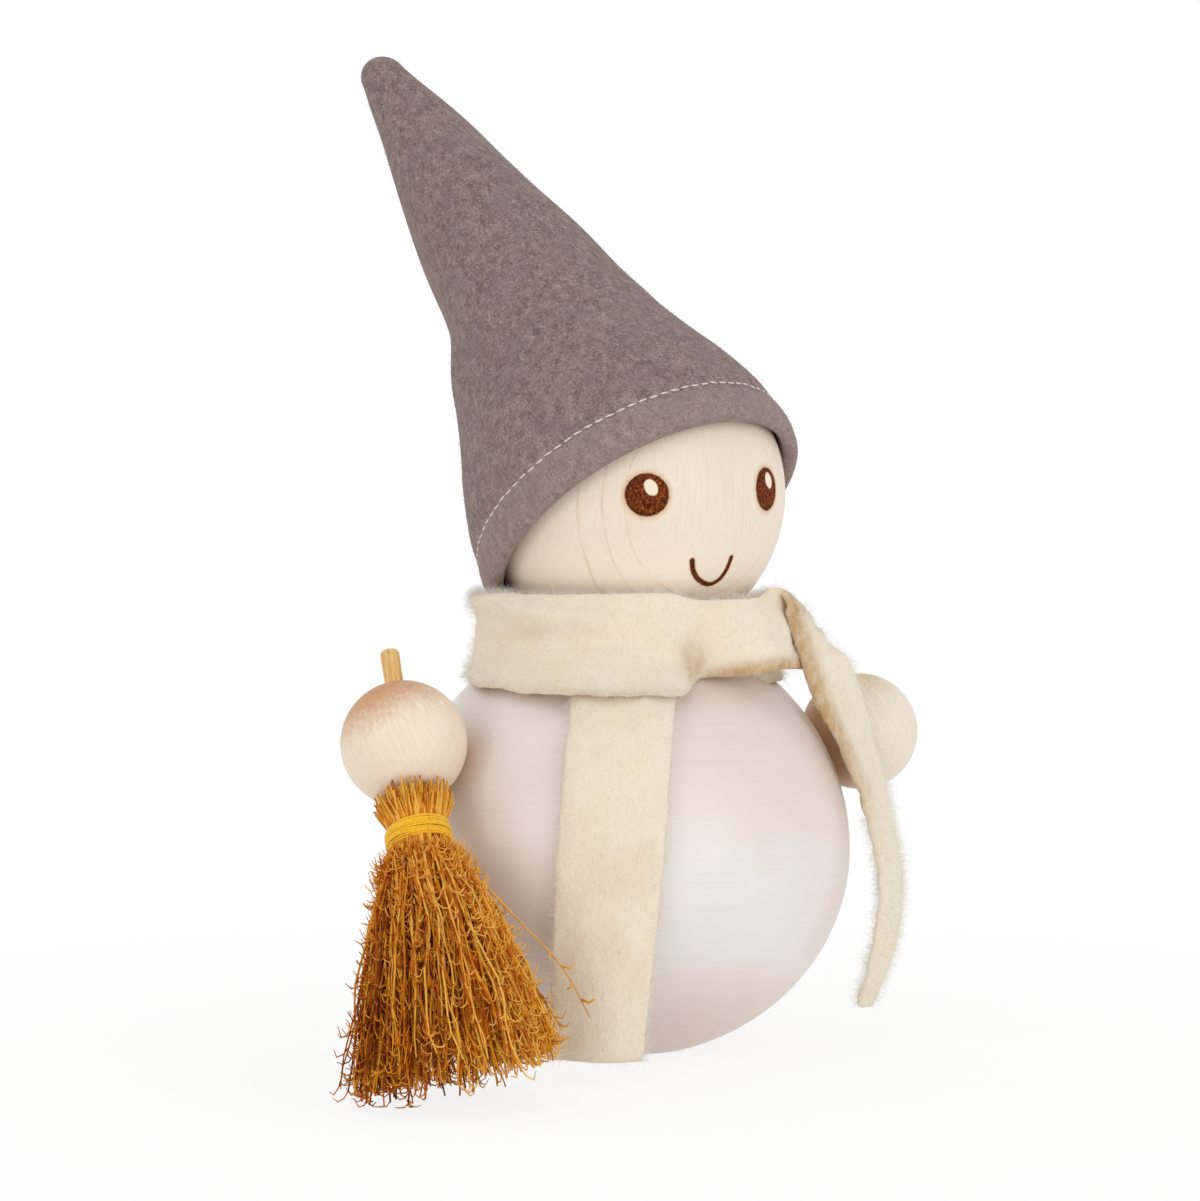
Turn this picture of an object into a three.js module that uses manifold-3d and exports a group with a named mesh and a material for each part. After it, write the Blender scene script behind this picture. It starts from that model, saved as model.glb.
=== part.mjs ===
// A turned wooden elf figure with a felt hat, a wool scarf and a small broom.
// Millimetres, +Z up. The figure stands on Z = 0 with the middle of its base at the
// origin and faces -Y, so its right hand, which holds the broom, is at -X.

import * as THREE from 'three';
import { mergeVertices } from 'three/addons/utils/BufferGeometryUtils.js';
import Module from 'manifold-3d';

const wasm = await Module();
wasm.setup();

const rad = THREE.MathUtils.degToRad;
const UP = new THREE.Vector3(0, 0, 1);

// Body: a ball turned flat under the base and at the neck
const BODY_RADIUS = 47;
const BODY_EQUATOR = 41;
const BASE_RADIUS = 14.5;
const BODY_TOP_RADIUS = 19;

// Head: a ball with a small flat to sit on
const HEAD_RADIUS = 32;
const HEAD_SEAT_RADIUS = 9.8;
const HEAD_FORWARD = 3;

// Hands: balls pegged square to the body's surface
const HAND_RADIUS = 12.5;
const ARM_FROM_FRONT = 82;
const ARM_RISE = 23.1;

// Dowels and the gaps between wooden pieces
const NECK_DOWEL_RADIUS = 4;
const NECK_DOWEL_DEPTH = 13;
const ARM_DOWEL_RADIUS = 2.5;
const ARM_DOWEL_DEPTH = 11;
const DOWEL_TO_BORE_WALL = 2.8;
const SEAT_GAP = 0.3;
const DOWEL_CLEARANCE = 0.3;

// Hat: a felt cone with a folded hem, leaning back on the head
const HAT_LEAN = 35.8;
const HAT_LEAN_SIDE = 14.7;
const HAT_CLEARANCE = 0.4;
const FELT = 1.65;
const BRIM_DROP = 8.5;
const HEM_HEIGHT = 8.5;
const HEM_TILT = 2.6;
const HEM_TILT_TURN = -23;
const HAT_WAIST_RADIUS = 24.3;
const HAT_WAIST_ABOVE_HEAD = 2;
const HAT_CONE_LENGTH = 84.5;
const HAT_TIP_RADIUS = 5;
const HAT_TIP_SHIFT = 9;
const HAT_BULGE = 0.6;

// Scarf: one strip of felted wool
const SCARF_TURN = -29;
const SCARF_WIDTH = 20.5;
const SCARF_THICKNESS = 2.8;
const SCARF_GAP = 0.4;
const LOOP_RADIUS = 29.3;
const LOOP_HEIGHT = 15;
const LOOP_WAIST = 1.3;
const LOOP_SKIRT = 1.6;
const LOOP_FRONT_SPREAD = 6;
const LOOP_FRONT_DIP = 3.5;
const LOOP_OVER_TAIL = 2.6;
const LOOP_OVER_TAIL_TURN = 17;
const FRONT_TAIL_ABOVE_FLOOR = 4.5;
const FRONT_TAIL_END_WIDTH = 18.5;
const FRONT_TAIL_SKEW = 4.5;
const FRONT_TAIL_FOLD = 1.1;
const BRIDGE_WIDTH = 15.5;
const SIDE_TAIL_WIDTH = 18;
const SIDE_TAIL_ABOVE_FLOOR = 8;
const SIDE_TAIL_STANDOFF = 7.5;

// Broom: a stick through the right hand and a tied bundle of plant fibre
const BROOM_FORWARD = 31;
const BROOM_OUTWARD = 11;
const STICK_RADIUS = 1.9;
const STICK_CLEARANCE = 0.3;
const STICK_OUT = 8.7;
const STICK_PAST_TIE = 12;
const TIE_BELOW_HAND = 8.6;
const BUNDLE_RADIUS = 5.7;
const BUNDLE_SLICE = 7;
const QUARTER_GAP = 0.3;
const STRAND_PITCH = 0.5;
const STRAND_RADIUS = 0.19;
const STRAND_TIP_RADIUS = 0.42;
const STRAND_TOP_FLARE = 1.3;
const STRAND_TOP_GAP = 0.6;
const BRISTLE_LENGTH = 57.4;
const FAN_RADIUS = 21.5;
const TIPS_ABOVE_FLOOR = 0.7;
const RAGGED_TIPS = 4;
const THREAD_RADIUS = 0.27;
const THREAD_PITCH = 1;
const THREAD_TURNS = 4;
const THREAD_GAP = 0.3;

// Facets
const BODY_FACETS = 40;
const HEAD_FACETS = 32;
const HAT_FACETS = 32;
const HAND_FACETS = 20;
const DOWEL_FACETS = 16;
const WELD = 1e-4;

// Worked-out places
const neckLevel = BODY_EQUATOR + Math.sqrt(BODY_RADIUS ** 2 - BODY_TOP_RADIUS ** 2);
const headSeat = neckLevel + SEAT_GAP;
const headRise = Math.sqrt(HEAD_RADIUS ** 2 - HEAD_SEAT_RADIUS ** 2);
const headCentre = new THREE.Vector3(0, -HEAD_FORWARD, headSeat + headRise);
const armHoleRadius = ARM_DOWEL_RADIUS + DOWEL_CLEARANCE;
const rimOf = (radius) => Math.sqrt(radius ** 2 - armHoleRadius ** 2);
const handDistance = rimOf(BODY_RADIUS) + SEAT_GAP + rimOf(HAND_RADIUS);
const stickBore = STICK_RADIUS + STICK_CLEARANCE;
const dowelInHand = HAND_RADIUS - stickBore - DOWEL_TO_BORE_WALL;
const bodyCentre = new THREE.Vector3(0, 0, BODY_EQUATOR);

/** Direction of an arm, from the middle of the body; side is -1 for the right arm. */
function armDirection(side) {
  const flat = Math.cos(rad(ARM_RISE));
  const x = side * Math.sin(rad(ARM_FROM_FRONT)) * flat;
  const y = -Math.cos(rad(ARM_FROM_FRONT)) * flat;
  return new THREE.Vector3(x, y, Math.sin(rad(ARM_RISE)));
}

function handCentre(side) {
  return armDirection(side).multiplyScalar(handDistance).add(bodyCentre);
}

/** Welds a closed geometry, drops its flat slivers and makes a solid of it. */
function solidOf(geometry) {
  const bare = geometry.clone();
  bare.deleteAttribute('normal');
  bare.deleteAttribute('uv');
  const welded = mergeVertices(bare, WELD);
  const corners = welded.index.array;
  const triangles = [];
  for (let i = 0; i < corners.length; i += 3) {
    const [a, b, c] = corners.slice(i, i + 3);
    if (a !== b && b !== c && c !== a) {
      triangles.push(a, b, c);
    }
  }
  return new wasm.Manifold(new wasm.Mesh({
    numProp: 3,
    vertProperties: Float32Array.from(welded.attributes.position.array),
    triVerts: Uint32Array.from(triangles),
  }));
}

function geometryOf(solid) {
  const mesh = solid.getMesh();
  const geometry = new THREE.BufferGeometry();
  geometry.setAttribute('position', new THREE.BufferAttribute(mesh.vertProperties, 3));
  geometry.setIndex(new THREE.BufferAttribute(mesh.triVerts, 1));
  geometry.computeVertexNormals();
  return geometry;
}

function piece(name, solid, colour, roughness) {
  const material = new THREE.MeshStandardMaterial({ color: colour, roughness, metalness: 0 });
  const mesh = new THREE.Mesh(geometryOf(solid), material);
  mesh.name = name;
  return mesh;
}

/** A group at a point whose +Z lies along a direction. */
function frameAlong(direction, origin) {
  const group = new THREE.Group();
  group.quaternion.setFromUnitVectors(UP, direction);
  group.position.copy(origin);
  return group;
}

/** Turns an outline of (radius, height) pairs about Z. */
function turned(outline, facets) {
  const points = outline.map(([radius, height]) => new THREE.Vector2(radius, height));
  return new THREE.LatheGeometry(points, facets).rotateX(Math.PI / 2);
}

/** A rod along Z between two heights. */
function rod(radius, from, to, facets) {
  const cylinder = new THREE.CylinderGeometry(radius, radius, to - from, facets);
  return cylinder.rotateX(Math.PI / 2).translate(0, 0, (from + to) / 2);
}

/** A ball about the origin, cut flat below where it has a flat. */
function ball(radius, facets, flatRadius = 0) {
  const rows = facets / 2;
  const first = -Math.acos(flatRadius / radius);
  const outline = [[0, radius * Math.sin(first)]];
  for (let i = flatRadius > 0 ? 0 : 1; i < rows; i += 1) {
    const angle = first + ((Math.PI / 2 - first) * i) / rows;
    outline.push([radius * Math.cos(angle), radius * Math.sin(angle)]);
  }
  outline.push([0, radius]);
  return turned(outline, facets);
}

/** Joins rings of points into one closed skin; a closed run joins its last ring to its first. */
function loft(rings, closed = false) {
  const count = rings[0].length;
  const index = [];
  const spans = closed ? rings.length : rings.length - 1;
  for (let i = 0; i < spans; i += 1) {
    const here = i * count;
    const next = ((i + 1) % rings.length) * count;
    for (let j = 0; j < count; j += 1) {
      const k = (j + 1) % count;
      index.push(here + j, next + j, next + k, here + j, next + k, here + k);
    }
  }
  if (!closed) {
    const last = (rings.length - 1) * count;
    let low = 0;
    let high = count - 1;
    while (high - low > 1) {
      index.push(low, low + 1, high, last + low, last + high, last + low + 1);
      low += 1;
      if (high - low > 1) {
        index.push(low, high - 1, high, last + low, last + high, last + high - 1);
        high -= 1;
      }
    }
  }
  const geometry = new THREE.BufferGeometry();
  const positions = rings.flat().flatMap((point) => point.toArray());
  geometry.setAttribute('position', new THREE.Float32BufferAttribute(positions, 3));
  geometry.setIndex(enclosedVolume(positions, index) < 0 ? index.toReversed() : index);
  return geometry;
}

function enclosedVolume(positions, index) {
  const [a, b, c] = [new THREE.Vector3(), new THREE.Vector3(), new THREE.Vector3()];
  let total = 0;
  for (let i = 0; i < index.length; i += 3) {
    a.fromArray(positions, 3 * index[i]);
    b.fromArray(positions, 3 * index[i + 1]);
    c.fromArray(positions, 3 * index[i + 2]);
    total += a.dot(b.cross(c)) / 6;
  }
  return total;
}

/** A steady spread of values from 0 to 1 that looks irregular. */
function scatter(i) {
  const wave = Math.sin(i * 12.9898) * 43758.5453;
  return wave - Math.floor(wave);
}

// Body

function makeBody() {
  const lowerDepth = BODY_EQUATOR / Math.sqrt(1 - (BASE_RADIUS / BODY_RADIUS) ** 2);
  const base = Math.acos(BASE_RADIUS / BODY_RADIUS);
  const top = Math.acos(BODY_TOP_RADIUS / BODY_RADIUS);
  const rows = BODY_FACETS / 4;
  const outline = [[0, 0]];
  for (let i = 0; i < rows; i += 1) {
    const angle = base * (i / rows - 1);
    outline.push([BODY_RADIUS * Math.cos(angle), BODY_EQUATOR + lowerDepth * Math.sin(angle)]);
  }
  for (let i = 0; i <= rows; i += 1) {
    const angle = (top * i) / rows;
    outline.push([BODY_RADIUS * Math.cos(angle), BODY_EQUATOR + BODY_RADIUS * Math.sin(angle)]);
  }
  outline.push([0, neckLevel]);
  const neckHole = rod(
    NECK_DOWEL_RADIUS + DOWEL_CLEARANCE,
    neckLevel - NECK_DOWEL_DEPTH - SEAT_GAP,
    neckLevel + NECK_DOWEL_DEPTH,
    DOWEL_FACETS,
  );
  let solid = solidOf(turned(outline, BODY_FACETS)).subtract(solidOf(neckHole));
  for (const side of [-1, 1]) {
    const armHole = rod(
      armHoleRadius,
      BODY_RADIUS - ARM_DOWEL_DEPTH - SEAT_GAP,
      BODY_RADIUS + ARM_DOWEL_DEPTH,
      DOWEL_FACETS,
    );
    const frame = frameAlong(armDirection(side), bodyCentre);
    frame.updateMatrix();
    solid = solid.subtract(solidOf(armHole.applyMatrix4(frame.matrix)));
  }
  return piece('body', solid, 0xe6ddd8, 0.55);
}

// Head and neck

function makeHead() {
  const neckHole = rod(
    NECK_DOWEL_RADIUS + DOWEL_CLEARANCE,
    -headRise - NECK_DOWEL_DEPTH,
    -headRise + NECK_DOWEL_DEPTH + SEAT_GAP,
    DOWEL_FACETS,
  ).translate(0, HEAD_FORWARD, 0);
  const solid = solidOf(ball(HEAD_RADIUS, HEAD_FACETS, HEAD_SEAT_RADIUS)).subtract(solidOf(neckHole));
  const mesh = piece('head', solid, 0xeadfcb, 0.5);
  mesh.position.copy(headCentre);
  return mesh;
}

function makeNeckDowel() {
  const dowel = rod(
    NECK_DOWEL_RADIUS,
    neckLevel - NECK_DOWEL_DEPTH,
    headSeat + NECK_DOWEL_DEPTH,
    DOWEL_FACETS,
  );
  return piece('neck_dowel', solidOf(dowel), 0xd9c4a0, 0.6);
}

// Arms and hands

function makeArmDowel(name, side) {
  const dowel = rod(
    ARM_DOWEL_RADIUS,
    BODY_RADIUS - ARM_DOWEL_DEPTH,
    handDistance - HAND_RADIUS + dowelInHand,
    DOWEL_FACETS,
  );
  const frame = frameAlong(armDirection(side), bodyCentre);
  frame.add(piece(name, solidOf(dowel), 0xd9c4a0, 0.6));
  return frame;
}

/** The blind hole of a hand for its arm dowel, along the given direction of the arm. */
function handHole(arm) {
  const hole = rod(armHoleRadius, -2 * HAND_RADIUS, dowelInHand + SEAT_GAP - HAND_RADIUS, DOWEL_FACETS);
  return solidOf(hole.applyQuaternion(new THREE.Quaternion().setFromUnitVectors(UP, arm)));
}

function makeLeftHand() {
  const frame = frameAlong(armDirection(1), handCentre(1));
  const solid = solidOf(ball(HAND_RADIUS, HAND_FACETS)).subtract(handHole(UP));
  frame.add(piece('left_hand', solid, 0xe8d6bd, 0.5));
  return frame;
}

/** Direction of the broom stick, up out of the right hand. */
function stickDirection() {
  const outward = armDirection(-1).setZ(0).normalize();
  const forward = new THREE.Vector3(-outward.y, outward.x, 0);
  const down = new THREE.Vector3(0, 0, -1);
  down.addScaledVector(forward, Math.tan(rad(BROOM_FORWARD)));
  down.addScaledVector(outward, Math.tan(rad(BROOM_OUTWARD)));
  return down.normalize().negate();
}

function makeRightHand(stick) {
  const bore = rod(stickBore, -2 * HAND_RADIUS, 2 * HAND_RADIUS, DOWEL_FACETS);
  const intoBroomFrame = new THREE.Quaternion().setFromUnitVectors(UP, stick).invert();
  const arm = armDirection(-1).applyQuaternion(intoBroomFrame);
  const solid = solidOf(ball(HAND_RADIUS, HAND_FACETS)).subtract(solidOf(bore)).subtract(handHole(arm));
  return piece('right_hand', solid, 0xe8d6bd, 0.5);
}

// Hat, in a frame with its origin at the middle of the head and +Z along the hat

function hatAxis() {
  const lean = Math.sin(rad(HAT_LEAN));
  const x = -lean * Math.sin(rad(HAT_LEAN_SIDE));
  const y = lean * Math.cos(rad(HAT_LEAN_SIDE));
  return new THREE.Vector3(x, y, Math.cos(rad(HAT_LEAN)));
}

/** Outline of the felt from above the hem to the tip, with a skin taken off its outside. */
function hatOutline(inset) {
  const hem = HEAD_RADIUS + HAT_CLEARANCE + 2 * FELT - inset;
  const hemTop = HEM_HEIGHT - BRIM_DROP;
  const waist = HEAD_RADIUS + HAT_WAIST_ABOVE_HEAD;
  const cone = waist + HAT_CONE_LENGTH;
  const crown = new THREE.QuadraticBezierCurve(
    new THREE.Vector2(hem, hemTop),
    new THREE.Vector2(hem - FELT, (2 * hemTop + waist) / 3),
    new THREE.Vector2(HAT_WAIST_RADIUS - inset, waist),
  );
  const point = new THREE.QuadraticBezierCurve(
    new THREE.Vector2(HAT_WAIST_RADIUS - inset, waist),
    new THREE.Vector2((HAT_WAIST_RADIUS + HAT_TIP_RADIUS) / 2 + HAT_BULGE - inset, (waist + cone) / 2),
    new THREE.Vector2(HAT_TIP_RADIUS - inset, cone),
  );
  const outline = [...crown.getPoints(6), ...point.getPoints(5).slice(1)];
  const tip = HAT_TIP_RADIUS - inset;
  const tipRows = 3;
  for (let i = 1; i <= tipRows; i += 1) {
    const angle = (Math.PI / 2) * (i / tipRows);
    outline.push(new THREE.Vector2(i === tipRows ? 0 : tip * Math.cos(angle), cone + tip * Math.sin(angle)));
  }
  return outline.map((at) => [at.x, at.y]);
}

function makeHat() {
  const inner = HEAD_RADIUS + HAT_CLEARANCE;
  const outer = inner + 2 * FELT;
  const hemTop = HEM_HEIGHT - BRIM_DROP;
  const outline = [
    ...hatOutline(FELT).toReversed(),
    [inner, hemTop],
    [inner, FELT / 2 - BRIM_DROP],
    [inner + FELT / 2, -BRIM_DROP],
    [outer - FELT / 2, -BRIM_DROP],
    [outer, FELT / 2 - BRIM_DROP],
    ...hatOutline(0),
  ];
  const geometry = turned(outline, HAT_FACETS);
  const places = geometry.attributes.position;
  const waist = HEAD_RADIUS + HAT_WAIST_ABOVE_HEAD;
  const length = waist + HAT_CONE_LENGTH + HAT_TIP_RADIUS;
  const tilt = new THREE.Vector2(Math.cos(rad(HEM_TILT_TURN)), Math.sin(rad(HEM_TILT_TURN)));
  tilt.multiplyScalar(Math.tan(rad(HEM_TILT)));
  for (let i = 0; i < places.count; i += 1) {
    const [x, y, z] = [places.getX(i), places.getY(i), places.getZ(i)];
    const share = Math.max(0, z) / length;
    const nearHem = THREE.MathUtils.clamp((waist - z) / (waist - hemTop), 0, 1);
    places.setX(i, x - HAT_TIP_SHIFT * share ** 2);
    places.setZ(i, z + nearHem * (tilt.x * x + tilt.y * y));
  }
  const frame = frameAlong(hatAxis(), headCentre);
  frame.add(piece('hat', solidOf(geometry), 0x857a75, 0.95));
  return frame;
}

// Scarf, in a frame turned so that -Y runs through its crossing

/** Cross-section points of the strip: along one face and back along the other. */
function stripRing(place) {
  const across = [-1, -0.55, 0, 0.55, 1];
  const half = (share) => (Math.abs(share) === 1 ? 0.5 : 1) * (SCARF_THICKNESS / 2);
  const front = across.map((share) => place(share, half(share)));
  const back = across.toReversed().map((share) => place(share, -half(share)));
  return [...front, ...back];
}

/** The loop round the neck, which rests on the shoulders of the body. */
function makeLoop(loopBase) {
  const steps = 24;
  const rings = [];
  for (let i = 0; i < steps; i += 1) {
    const turn = (2 * Math.PI * i) / steps;
    const aside = rad(LOOP_OVER_TAIL_TURN);
    const overTail = 1 - THREE.MathUtils.smoothstep(Math.acos(Math.cos(turn)), aside, 2 * aside);
    rings.push(stripRing((share, out) => {
      const hem = share < 0 ? share ** 2 : 0;
      const front = hem * ((1 + Math.cos(turn)) / 2) ** 2;
      const skirt = (out > 0 ? LOOP_SKIRT * hem : 0) + LOOP_FRONT_DIP * front;
      const waist = LOOP_WAIST * (1 - share ** 2);
      const spread = LOOP_FRONT_SPREAD * front + LOOP_OVER_TAIL * overTail * hem;
      const radius = LOOP_RADIUS + SCARF_THICKNESS / 2 + out - waist + spread;
      const height = loopBase + (LOOP_HEIGHT * (1 + share)) / 2 - skirt;
      return new THREE.Vector3(radius * Math.sin(turn), -radius * Math.cos(turn), height);
    }));
  }
  return solidOf(loft(rings, true));
}

/** The tail that lies on the front of the body and hangs plumb below its widest level. */
function makeFrontTail(loopBase) {
  const layer = BODY_RADIUS + SCARF_GAP + SCARF_THICKNESS / 2;
  const start = Math.asin((loopBase + SCARF_THICKNESS - BODY_EQUATOR) / layer);
  const hang = BODY_EQUATOR - FRONT_TAIL_ABOVE_FLOOR;
  const arcSteps = 6;
  const hangSteps = 4;
  const rings = [];
  for (let i = 0; i <= arcSteps + hangSteps; i += 1) {
    const angle = start * Math.max(0, 1 - i / arcSteps);
    const drop = hang * Math.max(0, (i - arcSteps) / hangSteps);
    const drift = -Math.tan(rad(FRONT_TAIL_SKEW)) * (layer * (start - angle) + drop);
    const width = THREE.MathUtils.lerp(SCARF_WIDTH, FRONT_TAIL_END_WIDTH, drop / hang);
    rings.push(stripRing((share, out) => {
      const fold = FRONT_TAIL_FOLD * (drop / hang) * (1 + Math.sin(Math.PI * (share + 0.3)));
      const reach = layer + out + fold;
      const aside = ((share * width) / 2 + drift) / layer;
      const flat = reach * Math.cos(aside);
      const height = BODY_EQUATOR - drop + flat * Math.sin(angle);
      return new THREE.Vector3(reach * Math.sin(aside), -flat * Math.cos(angle), height);
    }));
  }
  return solidOf(loft(rings));
}

/** The tail that leaves the crossing for the left hand, turns over and hangs before it. */
function makeSideTail(loopBase, hand) {
  const middle = loopBase + LOOP_HEIGHT / 2;
  const onLoop = (turn, lift, height) => new THREE.Vector3(
    (LOOP_RADIUS + lift) * Math.sin(rad(turn)),
    -(LOOP_RADIUS + lift) * Math.cos(rad(turn)),
    height,
  );
  const ahead = HAND_RADIUS + SIDE_TAIL_STANDOFF;
  const byHand = (aside, beyond, height) => new THREE.Vector3(
    hand.x + aside,
    hand.y - ahead - beyond,
    height,
  );
  const end = SIDE_TAIL_ABOVE_FLOOR;
  const way = new THREE.CatmullRomCurve3([
    onLoop(2, 1.4, middle - 1),
    onLoop(24, 3.4, middle - 1),
    onLoop(45, 6, middle - 0.5),
    onLoop(60, 7.4, middle),
    byHand(-15.6, 11.8, middle - 3.5),
    byHand(-10, 6, hand.z + 9.5),
    byHand(-5.4, 2.2, hand.z),
    byHand(0.1, 1.2, hand.z - 12.5),
    byHand(3.9, 0.2, (hand.z + end) / 2),
    byHand(-1.1, -0.3, end),
  ]);
  const steps = 16;
  const turnStart = 0.24;
  const turnEnd = 0.52;
  const leanStart = 0.36;
  const leanEnd = 0.12;
  const rings = [];
  for (let i = 0; i <= steps; i += 1) {
    const share = i / steps;
    const turn = THREE.MathUtils.smoothstep(share, turnStart, turnEnd);
    const centre = way.getPoint(share);
    const along = way.getTangent(share);
    const lean = THREE.MathUtils.lerp(leanStart, leanEnd, share);
    const across = UP.clone().lerp(new THREE.Vector3(lean, -1, 0).normalize(), turn);
    across.addScaledVector(along, -across.dot(along)).normalize();
    const out = new THREE.Vector3().crossVectors(along, across);
    const width = THREE.MathUtils.lerp(BRIDGE_WIDTH, SIDE_TAIL_WIDTH, turn);
    rings.push(stripRing((aside, thick) => centre.clone()
      .addScaledVector(across, (aside * width) / 2)
      .addScaledVector(out, thick)));
  }
  return solidOf(loft(rings));
}

function makeScarf() {
  const frame = new THREE.Group();
  frame.rotation.z = rad(SCARF_TURN);
  const room = BODY_RADIUS + SCARF_GAP;
  const loopBase = BODY_EQUATOR + Math.sqrt(room ** 2 - LOOP_RADIUS ** 2);
  const hand = handCentre(1).applyAxisAngle(UP, -rad(SCARF_TURN));
  const handRoom = ball(HAND_RADIUS + SCARF_GAP, HAND_FACETS).translate(hand.x, hand.y, hand.z);
  const bodyRoom = ball(room, BODY_FACETS).translate(0, 0, BODY_EQUATOR);
  const solid = makeLoop(loopBase)
    .add(makeFrontTail(loopBase))
    .add(makeSideTail(loopBase, hand))
    .subtract(solidOf(handRoom))
    .subtract(solidOf(bodyRoom));
  frame.add(piece('scarf', solid, 0xe3dcc8, 1));
  return frame;
}

// Broom, in a frame with its origin at the middle of the right hand and +Z up the stick

const tieHeight = -HAND_RADIUS - TIE_BELOW_HAND;

function makeStick() {
  const top = HAND_RADIUS + STICK_OUT;
  const bevel = STICK_RADIUS / 3;
  const outline = [
    [0, tieHeight - STICK_PAST_TIE],
    [STICK_RADIUS, tieHeight - STICK_PAST_TIE],
    [STICK_RADIUS, top - bevel],
    [STICK_RADIUS - bevel, top],
    [0, top],
  ];
  return piece('broom_handle', solidOf(turned(outline, DOWEL_FACETS)), 0xd6a85a, 0.7);
}

/** One quarter of the slice of bundle that the thread holds. */
function makeSlice(quarter) {
  const inner = STICK_RADIUS + STICK_CLEARANCE;
  const edge = (radius) => Math.asin(QUARTER_GAP / 2 / radius);
  const start = (quarter * Math.PI) / 2;
  const end = start + Math.PI / 2;
  const shape = new THREE.Shape();
  shape.absarc(0, 0, BUNDLE_RADIUS, start + edge(BUNDLE_RADIUS), end - edge(BUNDLE_RADIUS), false);
  shape.absarc(0, 0, inner, end - edge(inner), start + edge(inner), true);
  const geometry = new THREE.ExtrudeGeometry(shape, {
    depth: BUNDLE_SLICE,
    bevelEnabled: false,
    curveSegments: 6,
  });
  return solidOf(geometry.translate(0, 0, tieHeight - BUNDLE_SLICE / 2));
}

/** A three-sided strand between two points of the bundle. */
function makeStrand(from, to, fromRadius, toRadius) {
  const corner = (centre, radius) => (k) => {
    const angle = (2 * Math.PI * k) / 3;
    return new THREE.Vector3(
      centre.x + radius * Math.cos(angle),
      centre.y + radius * Math.sin(angle),
      centre.z,
    );
  };
  const ends = [corner(from, fromRadius), corner(to, toRadius)];
  return solidOf(loft(ends.map((at) => [0, 1, 2].map(at))));
}

/** Places of the strands of one quarter at the tie: rings of evenly spaced strands. */
function strandPlaces(quarter) {
  const first = STICK_RADIUS + STICK_CLEARANCE + STRAND_PITCH;
  const last = BUNDLE_RADIUS - STRAND_PITCH / 2;
  const rings = Math.round((last - first) / STRAND_PITCH);
  const places = [];
  for (let i = 0; i <= rings; i += 1) {
    const radius = first + ((last - first) * i) / rings;
    const count = Math.floor(((Math.PI / 2) * radius) / STRAND_PITCH);
    for (let j = 0; j < count; j += 1) {
      const angle = (Math.PI / 2) * (quarter + (j + 0.5) / count);
      places.push({ radius, angle, showsAbove: i === rings });
    }
  }
  return places;
}

/** One quarter of the strands, none reaching the floor, which lies square to the given direction. */
function makeBristles(quarter, skyward) {
  const embed = BUNDLE_SLICE / 4;
  const fan = FAN_RADIUS / (BUNDLE_RADIUS - STRAND_PITCH / 2);
  const reach = handCentre(-1).z - TIPS_ABOVE_FLOOR - STRAND_TIP_RADIUS;
  const roundTop = HAND_RADIUS + STRAND_TOP_GAP;
  const jitter = STRAND_PITCH / 2;
  let solid = makeSlice(quarter);
  strandPlaces(quarter).forEach(({ radius, angle, showsAbove }, i) => {
    const seed = quarter * 1000 + i;
    const at = (reachOut, height) => new THREE.Vector3(
      reachOut * Math.cos(angle),
      reachOut * Math.sin(angle),
      height,
    );
    const spread = radius * fan + jitter * (scatter(seed) - 0.5);
    const below = at(radius, tieHeight - BUNDLE_SLICE / 2 + embed);
    const way = at(spread, tieHeight - BRISTLE_LENGTH).sub(below);
    const toFloor = (reach + below.dot(skyward)) / -way.dot(skyward);
    const share = Math.min(1, toFloor) - (RAGGED_TIPS / BRISTLE_LENGTH) * scatter(seed + 0.5);
    const tip = below.clone().addScaledVector(way, share);
    solid = solid.add(makeStrand(below, tip, STRAND_RADIUS, STRAND_TIP_RADIUS));
    if (showsAbove) {
      const flare = radius * STRAND_TOP_FLARE;
      const cut = at(flare, -Math.sqrt(roundTop ** 2 - (flare - STRAND_RADIUS) ** 2));
      const above = at(radius, tieHeight + BUNDLE_SLICE / 2 - embed);
      solid = solid.add(makeStrand(above, cut, STRAND_RADIUS, STRAND_RADIUS));
    }
  });
  return piece(`broom_bristles_${quarter + 1}`, solid, 0xb5722b, 0.9);
}

/** The line of the wound thread, with a straight end before its first turn and after its last. */
class ThreadLine extends THREE.Curve {
  constructor() {
    super();
    this.radius = BUNDLE_RADIUS + THREAD_GAP + THREAD_RADIUS;
    this.wound = THREAD_TURNS * Math.hypot(2 * Math.PI * this.radius, THREAD_PITCH);
    this.tail = 2 * THREAD_RADIUS;
  }

  onHelix(share) {
    const angle = 2 * Math.PI * THREAD_TURNS * share;
    const rise = THREAD_TURNS * THREAD_PITCH * (share - 0.5);
    const x = this.radius * Math.cos(angle);
    return new THREE.Vector3(x, this.radius * Math.sin(angle), tieHeight + rise);
  }

  getPoint(share, target = new THREE.Vector3()) {
    const run = share * (this.wound + 2 * this.tail) - this.tail;
    const end = THREE.MathUtils.clamp(run, 0, this.wound);
    const angle = (2 * Math.PI * THREAD_TURNS * end) / this.wound;
    const heading = new THREE.Vector3(-Math.sin(angle), Math.cos(angle), 0);
    return target.copy(this.onHelix(end / this.wound)).addScaledVector(heading, run - end);
  }
}

function leastGap(line, steps) {
  const points = line.getSpacedPoints(steps);
  const skip = Math.round(steps / THREAD_TURNS / 2);
  let least = Infinity;
  for (let i = 0; i < points.length; i += 1) {
    for (let j = i + skip; j < points.length; j += 1) {
      least = Math.min(least, points[i].distanceTo(points[j]) - 2 * THREAD_RADIUS);
    }
  }
  return least;
}

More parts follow.
